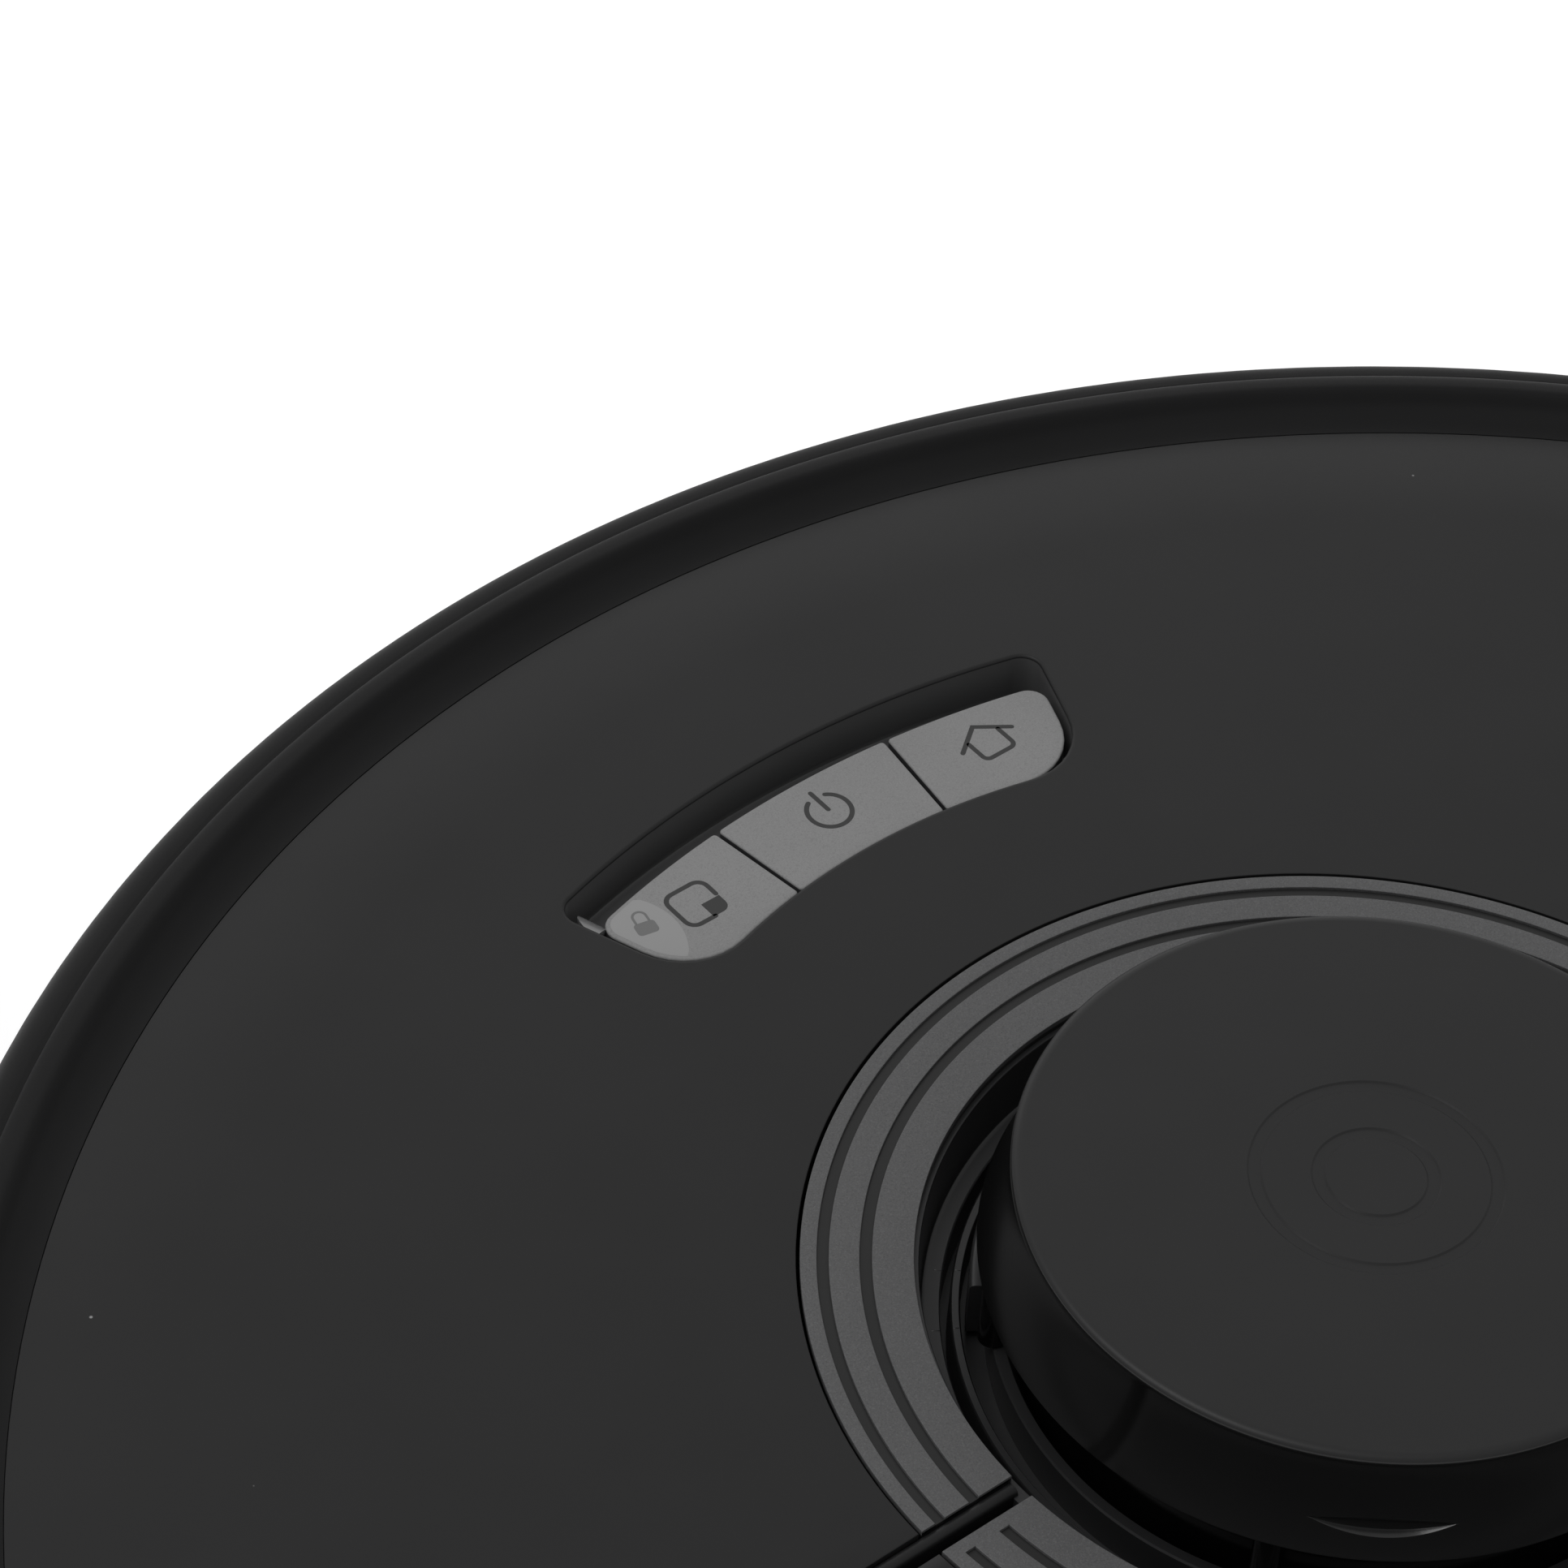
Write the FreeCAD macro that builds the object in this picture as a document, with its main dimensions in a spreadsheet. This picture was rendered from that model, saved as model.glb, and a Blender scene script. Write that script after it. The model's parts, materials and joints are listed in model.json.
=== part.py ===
"""Round robot vacuum with a laser turret, three top keys and a flip-up bin lid.

Millimetres.  +Y is the front, +X the right-hand side, +Z up.  The origin is on the floor under
the centre of the round body.
"""
import FreeCAD, Part
import math
import os
import re
import Sketcher

doc = FreeCAD.newDocument("RobotVacuum")

# ---------------------------------------------------------------- driving dimensions
SIZES = [
    # outer body
    ("body_radius", 175.0), ("plate_top", 80.5), ("cap_top", 96.5), ("under_z", 9.0),
    ("skin", 2.2), ("wall", 2.5), ("floor_skin", 3.0),
    ("chassis_radius", 165.5), ("shell_split", 44.0),
    # rim and bumper
    ("plate_radius", 161.7), ("plate_flat", 150.0), ("plate_fall", 1.0), ("rim_radius", 170.0),
    ("crest_radius", 167.2), ("crest_rise", 1.6), ("seat_depth", 2.9), ("bumper_low", 15.0),
    ("shoulder", 4.1), ("bumper_span", 184.0), ("rear_span", 173.2),
    # turret
    ("turret_y", 32.5), ("ring_outer", 59.6), ("ring_inner", 47.4), ("ring_depth", 1.2),
    ("groove_outer", 57.1), ("groove_inner", 52.5), ("groove_width", 1.3), ("groove_depth", 0.35),
    ("well_radius", 46.8), ("well_floor", 62.0), ("shelf_top", 73.7), ("shelf_inner", 37.8),
    ("rotor_radius", 36.0), ("rotor_top", 93.0), ("cap_radius", 38.3), ("skirt_radius", 41.0),
    ("skirt_low", 83.5), ("bearing_inner", 12.0), ("bearing_outer", 17.0),
    ("pulley_radius", 33.0), ("motor_pulley", 5.5), ("motor_reach", 62.0), ("belt_low", 66.0),
    ("belt_width", 2.4), ("belt_thick", 1.1),
    # keys
    ("key_near", 81.0), ("key_far", 93.8), ("far_bend", 125.0), ("key_drop", 0.8), ("key_thick", 2.5),
    ("key_end", 20.2), ("key_split", 7.5), ("key_gap", 0.25), ("near_corner", 8.5), ("far_corner", 2.4),
    ("recess_near", 80.7), ("recess_far", 98.6), ("recess_end", 20.7), ("tray_floor", 74.2),
    ("switch_reach", 87.4),
    # lid and its hinge
    ("channel_rear", 1.4), ("channel_front", 1.8), ("barrel", 1.3), ("pin_radius", 0.7),
    ("hinge_drop", 1.5), ("hinge_x", 66.0), ("knuckle", 9.0),
    # bin
    ("bin_half", 78.0), ("bin_front", -38.0), ("bin_round", 156.0), ("bin_low", 13.0),
    ("bin_high", 66.0), ("bin_wall", 2.0), ("deck_low", 70.0), ("deck_thick", 2.5),
    # main brush
    ("brush_y", -2.0), ("brush_z", 20.5), ("brush_radius", 19.8), ("brush_half", 74.0),
    ("core_radius", 8.0), ("brush_room", 22.0),
    # wheels
    ("wheel_radius", 33.0), ("wheel_in", 101.0), ("wheel_width", 20.0), ("well_in", 86.0),
    ("well_out", 124.0), ("well_half", 40.0), ("well_front", 47.0), ("pivot_y", 37.0),
    ("pivot_z", 34.0), ("pivot_radius", 2.5),
    # caster
    ("caster_y", 136.0), ("caster_radius", 17.0), ("caster_wheel", 11.0), ("trail", 5.0),
    # side brush
    ("side_x", 100.0), ("side_y", 101.0), ("side_reach", 60.0), ("hub_radius", 11.0),
    # fan
    ("fan_x", -109.0), ("fan_y", -76.0), ("fan_radius", 26.0),
    # battery
    ("battery_y", 86.0), ("battery_half", 68.0), ("battery_deep", 50.0), ("battery_high", 24.0),
]
dims = doc.addObject("Spreadsheet::Sheet", "Dims")
for row, (alias, size) in enumerate(SIZES, start=1):
    dims.set("A%d" % row, alias)
    dims.set("B%d" % row, str(size))
    dims.setAlias("B%d" % row, alias)
doc.recompute()
ALIASES = {alias for alias, _ in SIZES}
pieces = {}


def on_sheet(formula):
    """A formula in the sheet's words, as FreeCAD's expressions spell it."""
    return re.sub(r"[a-z]\w*", lambda word: ("Dims." if word.group() in ALIASES else "") + word.group(),
                  str(formula))


def value(formula):
    """What a formula comes to now, in millimetres or degrees."""
    return float(dims.evalExpression(on_sheet(formula)))


def bind(part, prop, formula):
    part.setExpression(prop, on_sheet(formula))


def place(part, x=0, y=0, z=0, turn=FreeCAD.Rotation()):
    """Puts a part at a point of the sheet, turned by a rotation."""
    part.Placement = FreeCAD.Placement(FreeCAD.Vector(value(x), value(y), value(z)), turn)
    for axis, formula in (("x", x), ("y", y), ("z", z)):
        bind(part, "Placement.Base." + axis, formula)
    return part


def spun(part, degrees, offset, centre=(0, 0, 0), turn=0):
    """Puts a part at an offset in a frame that is turned about a vertical line."""
    spots = [FreeCAD.Vector(*[value(size) for size in spot]) for spot in (centre, offset)]
    frame = FreeCAD.Placement(spots[0], about_z(degrees))
    part.Placement = frame.multiply(FreeCAD.Placement(spots[1], about_z(turn)))
    return part


# ---------------------------------------------------------------- shapes
UP = FreeCAD.Vector(0, 0, 1)
ALONG = {
    "Z": FreeCAD.Rotation(),
    "X": FreeCAD.Rotation(FreeCAD.Vector(0, 1, 0), 90),
    "Y": FreeCAD.Rotation(FreeCAD.Vector(1, 0, 0), -90),
}


def about_z(degrees):
    return FreeCAD.Rotation(UP, degrees)


def rod(radius, length, x=0, y=0, z=0, along="Z"):
    """A cylinder that starts at a point and runs along one axis."""
    part = doc.addObject("Part::Cylinder", "Rod")
    bind(part, "Radius", radius)
    bind(part, "Height", length)
    return place(part, x, y, z, ALONG[along])


def block(x0, x1, y0, y1, z0, z1):
    """A box between two corners."""
    part = doc.addObject("Part::Box", "Block")
    for prop, low, high in (("Length", x0, x1), ("Width", y0, y1), ("Height", z0, z1)):
        bind(part, prop, "(%s) - (%s)" % (high, low))
    return place(part, x0, y0, z0)


def bar(long, wide, high):
    """A box at the origin, for spun to place."""
    part = doc.addObject("Part::Box", "Bar")
    for prop, size in (("Length", long), ("Width", wide), ("Height", high)):
        bind(part, prop, size)
    return part


def cut(base, *tools):
    part = doc.addObject("Part::Cut", "Cut")
    part.Base = base
    part.Tool = tools[0] if len(tools) == 1 else fuse(*tools)
    return part


def fuse(*parts):
    part = doc.addObject("Part::MultiFuse", "Fuse")
    part.Shapes = list(parts)
    return part


def common(*parts):
    part = doc.addObject("Part::MultiCommon", "Common")
    part.Shapes = list(parts)
    return part


def group(*parts):
    """Identical separate solids in one node."""
    part = doc.addObject("Part::Compound", "Group")
    part.Links = list(parts)
    return part


def tube(outer, inner, z0, z1, x=0, y=0):
    length = "(%s) - (%s)" % (z1, z0)
    return cut(rod(outer, length, x, y, z0), rod(inner, "%s + 2" % length, x, y, "%s - 1" % z0))


def sector(inner, outer, start, span, z0, z1):
    """Part of a flat ring about the turret's axis; angles run anticlockwise from +X."""
    length = "(%s) - (%s)" % (z1, z0)
    whole = rod(outer, length, 0, "turret_y", z0)
    bind(whole, "Angle", span)
    whole.Placement.Rotation = about_z(start)
    return cut(whole, rod(inner, length + " + 2", 0, "turret_y", "%s - 1" % z0))


def rounded(base, radius, chosen):
    """Rounds the edges of a part that a test picks."""
    doc.recompute()
    part = doc.addObject("Part::Fillet", "Rounded")
    part.Base = base
    part.Edges = [(number, value(radius), value(radius))
                  for number, edge in enumerate(base.Shape.Edges, start=1) if chosen(edge)]
    return part


def upright(edge):
    ends = [vertex.Point for vertex in edge.Vertexes]
    return len(ends) == 2 and (ends[1] - ends[0]).cross(UP).Length < 1e-4


def arc_between(start, end, radius, bulge):
    """The arc of a radius between two points, and whether it starts at the first of them."""
    chord = end - start
    rise = math.sqrt(max(radius ** 2 - (chord.Length / 2) ** 2, 0.0))
    side = FreeCAD.Vector(-chord.y, chord.x, 0).normalize()
    centre = (start + end) * 0.5 - side * rise * bulge
    first, last = (end, start) if bulge > 0 else (start, end)
    angles = [math.atan2(point.y - centre.y, point.x - centre.x) for point in (first, last)]
    circle = Part.Circle(centre, UP, radius)
    return Part.ArcOfCircle(circle, angles[0], angles[1]), bulge < 0


def outline(body, plane, corners, arcs=None):
    """A closed sketch whose corners and arc radii follow the sheet.

    arcs maps the number of a side to its radius and the side it bulges to: +1 is to the left
    of the way from one corner to the next.
    """
    arcs = arcs or {}
    sketch = body.newObject("Sketcher::SketchObject", "Outline")
    origin_plane = [item for item in body.Origin.OriginFeatures if item.Role == plane][0]
    sketch.AttachmentSupport = [(origin_plane, "")]
    sketch.MapMode = "FlatFace"
    points = [FreeCAD.Vector(value(x), value(y), 0) for x, y in corners]
    ends = []
    for side, start in enumerate(points):
        end = points[(side + 1) % len(points)]
        if side in arcs:
            curve, forward = arc_between(start, end, value(arcs[side][0]), arcs[side][1])
        else:
            curve, forward = Part.LineSegment(start, end), True
        sketch.addGeometry(curve)
        ends.append((1, 2) if forward else (2, 1))
    for side, (x, y) in enumerate(corners):
        following = (side + 1) % len(corners)
        sketch.addConstraint(Sketcher.Constraint(
            "Coincident", side, ends[side][1], following, ends[following][0]))
        for kind, formula, place_now in (("DistanceX", x, points[side].x), ("DistanceY", y, points[side].y)):
            number = sketch.addConstraint(Sketcher.Constraint(
                kind, -1, 1, side, ends[side][0], place_now))
            sketch.setExpression("Constraints[%d]" % number, on_sheet(formula))
    for side, (radius, _) in arcs.items():
        number = sketch.addConstraint(Sketcher.Constraint("Radius", side, value(radius)))
        sketch.setExpression("Constraints[%d]" % number, on_sheet(radius))
    return sketch


def lathe(corners, arcs=None, y=0, span=360, turn=0):
    """A section in radius and height turned about a vertical axis, centred on a direction."""
    body = doc.addObject("PartDesign::Body", "Lathe")
    sketch = outline(body, "XZ_Plane", corners, arcs)
    turned = body.newObject("PartDesign::Revolution", "Turned")
    turned.Profile = sketch
    turned.ReferenceAxis = (sketch, ["V_Axis"])
    bind(turned, "Angle", span)
    turned.Midplane = True
    return place(body, 0, y, 0, about_z(turn))


def keep(name, part):
    """Names a finished piece; the name is also its file's."""
    part.Label = name
    pieces[name] = part
    return part


def front_of(y):
    return block(-200, 200, y, 200, -5, 120)


def behind(y):
    return block(-200, 200, -200, y, -5, 120)


# ---------------------------------------------------------------- casing
def plate_disc():
    """The top skin as a whole disc: flat, then falling a little towards its edge."""
    return lathe(
        [(0, "plate_top - skin"), ("plate_flat", "plate_top - skin"),
         ("plate_radius", "plate_top - plate_fall - 1.8"), ("plate_radius", "plate_top - plate_fall"),
         ("plate_flat", "plate_top"), (0, "plate_top")])


def ring_bed():
    """The hole for the turret and the step that the trim ring lies in."""
    step = rod("ring_outer + 0.35", 5, 0, "turret_y", "plate_top - ring_depth")
    return fuse(step, rod("ring_inner", 20, 0, "turret_y", "plate_top - 10"))


def hinge_knuckles(lid_side):
    """Barrels on the hinge line; the lid's sit between the cover's."""
    parts = []
    for sign in (-1, 1):
        for place_in_row in ((1,) if lid_side else (0, 2)):
            near = "hinge_x + %d * (knuckle + 0.2)" % place_in_row
            low = near if sign > 0 else "-(%s) - knuckle" % near
            parts.append(rod("barrel", "knuckle", low, "turret_y", "plate_top - hinge_drop", "X"))
            web = ("turret_y - 6", "turret_y") if lid_side else ("turret_y", "turret_y + 6")
            parts.append(block(low, "%s + knuckle" % low, web[0], web[1],
                               "plate_top - hinge_drop - 1.1", "plate_top - hinge_drop"))
    return parts


def hinge_bore(clearance):
    return rod("pin_radius + %s" % clearance, 240, -120, "turret_y", "plate_top - hinge_drop", "X")


def hinge_pins():
    length = "3 * knuckle + 0.4"
    pins = [rod("pin_radius", length, low, "turret_y", "plate_top - hinge_drop", "X")
            for low in ("hinge_x", "-hinge_x - 3 * knuckle - 0.4")]
    keep("lid_hinge_pins", group(*pins))


def key_outline(near, far, start, end, z0, z1):
    """Sector between two angles whose far edge bends less than the turret's circle does."""
    whole = sector(near, "%s + 5" % far, start, end - start, z0, z1)
    return common(whole, rod("far_bend", "(%s) - (%s)" % (z1, z0), 0, "turret_y + %s - far_bend" % far, z0))


def round_corners(part, sides):
    """Rounds a key outline's outer corners on the given sides: large near the turret, small beyond."""
    def corner(edge, beyond):
        point = edge.Vertexes[0].Point
        reach = math.hypot(point.x, point.y - value("turret_y"))
        outer = abs(point.x) > 20 and point.x * sides >= 0
        return upright(edge) and outer and (reach > value("switch_reach")) == beyond

    part = rounded(part, "near_corner", lambda edge: corner(edge, False))
    return rounded(part, "far_corner", lambda edge: corner(edge, True))


def key_window():
    window = key_outline("recess_near", "recess_far", 90 - value("recess_end"), 90 + value("recess_end"),
                         "tray_floor", "plate_top + 3")
    return round_corners(window, 0)


def front_cover():
    """The front skin, the tray under its keys and the floor of the channel beside the lid."""
    edge = "turret_y + channel_front"
    half = common(plate_disc(), front_of(edge))
    tray = sector("recess_near - 2", "recess_far + 2", 90 - value("recess_end") - 1.5,
                  "2 * recess_end + 3", "tray_floor - 1.5", "plate_top - skin")
    solid = fuse(half, tray, *hinge_knuckles(False))
    channel = [common(fuse(block(x0, x1, "turret_y - 3", edge + " + 2", "plate_top - 5.4", "plate_top - 4"),
                           block(x0, x1, edge, edge + " + 2", "plate_top - 5.4", "plate_top - 1")),
                      rod("plate_radius - 5.3", 20, 0, 0, "plate_top - 10"))
               for x0, x1 in ((-160, -49), (49, 160))]
    keep("front_cover", cut(fuse(solid, *channel), ring_bed(), key_window(), hinge_bore(0)))


def bin_lid():
    half = common(plate_disc(), behind("turret_y - channel_rear"))
    plate = cut(half, ring_bed())
    keep("bin_lid", cut(fuse(plate, *hinge_knuckles(True)), hinge_bore(0.06)))


def ring_trim():
    """The metallic ring round the turret, in two halves with two turned grooves."""
    low, high = "plate_top - ring_depth", "plate_top + 0.05"
    ring = tube("ring_outer", "ring_inner", low, high, 0, "turret_y")
    grooves = [tube("%s + groove_width / 2" % middle, "%s - groove_width / 2" % middle,
                    "%s - groove_depth" % high, "%s + 1" % high, 0, "turret_y")
               for middle in ("groove_outer", "groove_inner")]
    front = common(ring, front_of("turret_y + channel_front"))
    rear = common(ring, behind("turret_y - channel_rear"))
    short = common(fuse(*grooves), behind("turret_y - channel_rear - 1.5"))
    keep("ring_trim_front", cut(front, fuse(*grooves)))
    keep("ring_trim_rear", cut(rear, short))


def upper_shell():
    """The rim that frames the top, with the ledge the covers rest on and the wall under it."""
    crest = "plate_top + crest_rise"
    rim = lathe(
        [("chassis_radius - wall", "shell_split"), ("chassis_radius", "shell_split"),
         ("chassis_radius", "plate_top - 0.6"), ("chassis_radius + 1", "plate_top + 0.7"),
         ("rim_radius", "plate_top + 0.8"), ("rim_radius", "plate_top + 1.2"),
         ("crest_radius", crest), ("plate_radius + 0.3", "plate_top - plate_fall"),
         ("plate_radius + 0.3", "plate_top - seat_depth"), ("plate_radius - 5", "plate_top - seat_depth"),
         ("plate_radius - 5", "plate_top - seat_depth - 2"), ("chassis_radius - wall", "plate_top - 6")],
        {5: (8, -1), 6: (9, 1)})
    keep("upper_shell", rim)


def outer_wall_section():
    """Section of the outer wall: rounded shoulder, upright side, rounded lower edge."""
    inside = "body_radius - wall"
    top = "plate_top + 0.3"
    return [
        ("body_radius - 5.5", "bumper_low"), ("body_radius - 3", "bumper_low"), ("body_radius", "bumper_low + 6"),
        ("body_radius", "%s - shoulder" % top), ("body_radius - shoulder", top),
        ("body_radius - shoulder - 0.9", top), ("body_radius - shoulder - 0.9", "plate_top - 1.2"),
        (inside, "plate_top - 4"), (inside, "bumper_low + 7"), ("body_radius - 5.5", "bumper_low + 2")]


OUTER_ARCS = {1: ("8", -1), 3: ("shoulder", -1)}


def bumper():
    shell = lathe(outer_wall_section(), OUTER_ARCS, span="bumper_span", turn=90)
    eye = block(-26, 26, 160, 180, 38, 56)
    eye_side = block(150, 180, 52, 66, 30, 44)
    keep("bumper", cut(shell, eye, eye_side))
    pane = tube("body_radius", "body_radius - wall", 38.1, 55.9)
    keep("docking_window", common(pane, block(-25.9, 25.9, 160, 180, 30, 60)))
    pane = tube("body_radius", "body_radius - wall", 30.1, 43.9)
    keep("wall_sensor_window", common(pane, block(150, 180, 52.1, 65.9, 30, 44)))


EXHAUST_START, EXHAUST_STEP, EXHAUST_SLOTS = 206, 2.4, 12
SHELL_TABS = (-165, -130, -90, -50, -15)


def rear_shell():
    shell = lathe(outer_wall_section(), OUTER_ARCS, span="rear_span", turn=-90)
    slots = [spun(bar(30, 2.4, 22), EXHAUST_START + number * EXHAUST_STEP, (150, -1.2, 32))
             for number in range(EXHAUST_SLOTS)]
    tabs = [spun(bar("body_radius - wall - chassis_radius", 10, 3), direction, ("chassis_radius + 0.05", -5, 46))
            for direction in SHELL_TABS]
    keep("rear_shell", cut(fuse(shell, *tabs), fuse(*slots)))
    grille = tube("body_radius - wall", "body_radius - wall - 1.5", 29, 57)
    bars = common(grille, block(-180, -100, -105, -66, 20, 60))
    holes = [block(-180, -100, -105, -60, 31 + 4 * number, 33 + 4 * number) for number in range(6)]
    keep("exhaust_grille", cut(bars, common(fuse(*holes), block(-180, -100, -101, -70, 20, 60))))


# ---------------------------------------------------------------- chassis
def round_spots(radius, directions):
    """Points on a circle about the body's centre, at angles from +X."""
    return [(radius * math.cos(math.radians(degrees)), radius * math.sin(math.radians(degrees)))
            for degrees in directions]


SCREW_SPOTS = round_spots(158, (45, 102, 135, 180, 213, 250, 290, 327, 0))
CLIFF_SPOTS = round_spots(153, (22, 58, 122, 158))
CONTACT_X = 38


def chassis():
    pan = doc.addObject("Part::Cone", "Pan")
    bind(pan, "Radius1", "chassis_radius - 2")
    bind(pan, "Radius2", "chassis_radius + 1")
    bind(pan, "Height", "floor_skin")
    place(pan, 0, 0, "under_z")
    floor_top = "under_z + floor_skin"
    wall = tube("chassis_radius", "chassis_radius - wall", floor_top, "shell_split")
    adds = [pan, wall]
    cuts = [block("-brush_half - 9", "brush_half + 9", "brush_y - 26", "brush_y + 26", 0, 12.5),
            block("-battery_half - 6", "battery_half + 6", "battery_y - 28", "battery_y + 28", 0, 11.5),
            block("-battery_half - 3", "battery_half + 3", "battery_y - 26", "battery_y + 26", 0, 13),
            rod(6, 20, "side_x", "side_y", 0), rod("caster_radius + 2", 26.5, 0, "caster_y", 0),
            rod(4.05, 60, 0, "caster_y", 0)]
    for sign in (-1, 1):
        low, high = ("well_in", "well_out") if sign > 0 else ("-well_out", "-well_in")
        outer = block("%s - 1.6" % low, "%s + 1.6" % high, "-well_half - 1.6", "well_front + 1.6", floor_top, 69)
        adds.append(outer)
        cuts.append(block(low, high, "-well_half", "well_front", 0, 67.4))
        cuts.append(rod("pivot_radius", 60, "%s - 10" % low, "pivot_y", "pivot_z", "X"))
    adds.append(rod("caster_radius + 4", 17, 0, "caster_y", floor_top))
    adds.append(rod(8, 12, 0, "caster_y", 28))
    adds += [rod(2.5, 32, x, 118, floor_top) for x in (-57, 57)]
    cuts += [block(x - 9.1, x + 9.1, 141.9, 151.1, 0, 10.6) for x in (-CONTACT_X, CONTACT_X)]
    cuts += [rod(6.05, 2.6, x, y, "under_z - 1") for x, y in CLIFF_SPOTS]
    for x, y in SCREW_SPOTS:
        cuts.append(rod(3.0, 2.2, x, y, "under_z - 0.2"))
        cuts.append(rod(1.5, 6, x, y, "under_z"))
    keep("chassis", cut(fuse(*adds), *cuts))


def case_screws():
    screws = [fuse(rod(2.9, 1.8, x, y, "under_z + 0.1"), rod(1.45, 4.5, x, y, "under_z + 1.5"))
              for x, y in SCREW_SPOTS]
    keep("case_screws", group(*screws))


def deck():
    """The inner floor round the bin, seen when the lid is up."""
    top = "deck_low + deck_thick"
    disc = common(rod("chassis_radius - wall - 0.2", "deck_thick", 0, 0, "deck_low"),
                  block(-170, 170, -170, "turret_y - 4", 60, 80))
    bay = common(rod("bin_round + 1.5", 30, 0, 0, 60),
                 block("-bin_half - 1.5", "bin_half + 1.5", -170, "bin_front + 1.5", 60, 90))
    well = rod("well_radius + 0.5", 30, 0, "turret_y", 60)
    lip = common(tube("bin_round + 3.5", "bin_round + 1.5", top, "deck_low + 4"),
                 block("-bin_half", "bin_half", -170, -100, 60, 90))
    keep("deck", cut(fuse(disc, lip), bay, well))


def sensors():
    contacts = [block(x - 9, x + 9, 142, 151, 8.8, 10.6) for x in (-CONTACT_X, CONTACT_X)]
    keep("charging_contacts", group(*contacts))
    keep("cliff_sensor_windows", group(*[rod(6, 1.4, x, y, "under_z + 0.2") for x, y in CLIFF_SPOTS]))
    switches = [block(x - 7, x + 7, 128, 138, 14, 24) for x in (-72, 72)]
    keep("bumper_switches", group(*switches))
    keep("speaker", fuse(rod(15, 6, -98, 92, 12), rod(9, 9, -98, 92, 18)))


# ---------------------------------------------------------------- keys
def at_switch(degrees):
    """The point under the keys at an angle from +X about the turret."""
    angle = math.radians(degrees)
    return "switch_reach * %f" % math.cos(angle), "turret_y + switch_reach * %f" % math.sin(angle)


def keys():
    top = "plate_top - key_drop"
    low = "%s - key_thick" % top
    split, end = value("key_split"), value("key_end")
    inner = split + value("key_gap")
    spans = {"key_home": (90 - end, 90 - inner, 1), "key_power": (90 - split, 90 + split, None),
             "key_spot": (90 + inner, 90 + end, -1)}
    middles = []
    for name, (start, stop, side) in spans.items():
        key = key_outline("key_near", "key_far", start, stop, low, top)
        if side:
            key = round_corners(key, side)
        middles.append((start + stop) / 2)
        x, y = at_switch(middles[-1])
        keep(name, fuse(key, rod(2, 0.5, x, y, "%s - 0.4" % low)))
    board = sector(83, 93, 73, 34, "tray_floor", "tray_floor + 1.0")
    switches = [rod(2.4, 1.2, *at_switch(middle), "tray_floor + 0.5") for middle in middles]
    keep("key_board", fuse(board, *switches))


# ---------------------------------------------------------------- laser turret
def turret():
    cup = lathe(
        [(0, "well_floor"), ("well_radius", "well_floor"), ("well_radius", "plate_top - 0.6"),
         ("well_radius - 1.6", "plate_top - 0.6"), ("well_radius - 1.6", "shelf_top"),
         ("shelf_inner", "shelf_top"), ("shelf_inner", "shelf_top - 1.2"),
         ("well_radius - 1.6", "shelf_top - 1.2"), ("well_radius - 1.6", "well_floor + 2"),
         ("bearing_inner + 2", "well_floor + 2"), ("bearing_inner + 2", "well_floor + 3"),
         ("bearing_inner", "well_floor + 3"), ("bearing_inner", "shelf_top + 1"), (0, "shelf_top + 1")],
        y="turret_y")
    flange = common(tube("well_radius + 7", "well_radius - 0.5", "plate_top - skin - 1.6", "plate_top - skin",
                         0, "turret_y"), front_of("turret_y + 6"))
    keep("lidar_base", cut(fuse(cup, flange), belt_slot()))
    keep("lidar_bearing", tube("bearing_outer", "bearing_inner", "well_floor + 3", "shelf_top - 3", 0, "turret_y"))
    bore = "bearing_outer + 0.05"
    keep("lidar_rotor", lathe(
        [(bore, "belt_low - 1.4"), ("pulley_radius + 1.5", "belt_low - 1.4"),
         ("pulley_radius + 1.5", "belt_low - 0.6"), ("pulley_radius", "belt_low - 0.2"),
         ("pulley_radius", "belt_low + belt_width + 0.2"), ("rotor_radius", "belt_low + belt_width + 0.6"),
         ("rotor_radius", "rotor_top"), (0, "rotor_top"), (0, "rotor_top - 2"),
         ("rotor_radius - 2", "rotor_top - 2"), ("rotor_radius - 2", "shelf_top + 4"),
         (bore, "shelf_top + 4")], y="turret_y"))
    ring = tube("rotor_radius + 0.8", "rotor_radius", 79, 83, 0, "turret_y")
    sides = (block(-60, -20, 30, 48, 70, 90), block(-60, 0, 52, 80, 70, 90))
    keep("lidar_windows", group(*[common(ring, side) for side in sides]))
    cap()
    drive()


def cap():
    """A shallow cup over the rotor on four short legs."""
    cup = lathe(
        [(0, "cap_top"), ("cap_radius - 1.2", "cap_top"), ("cap_radius + 0.6", "cap_top - 2.2"),
         ("skirt_radius - 0.2", "cap_top - 7.5"), ("skirt_radius", "skirt_low"),
         ("rotor_radius + 1.6", "skirt_low"), ("rotor_radius + 1.2", "cap_top - 2"), (0, "cap_top - 2")],
        {1: ("2.4", 1)}, y="turret_y")
    legs = []
    for x, y in round_spots(value("skirt_radius") - 2, (33, 147, 213, 327)):
        legs.append(rod(1.6, "skirt_low + 1 - shelf_top", x, "turret_y + %f" % y, "shelf_top"))
    keep("lidar_cap", fuse(cup, *legs))


MOTOR_ANGLE = 20


def motor_spot():
    angle = math.radians(MOTOR_ANGLE)
    return "motor_reach * %f" % math.cos(angle), "turret_y + motor_reach * %f" % math.sin(angle)


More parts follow.
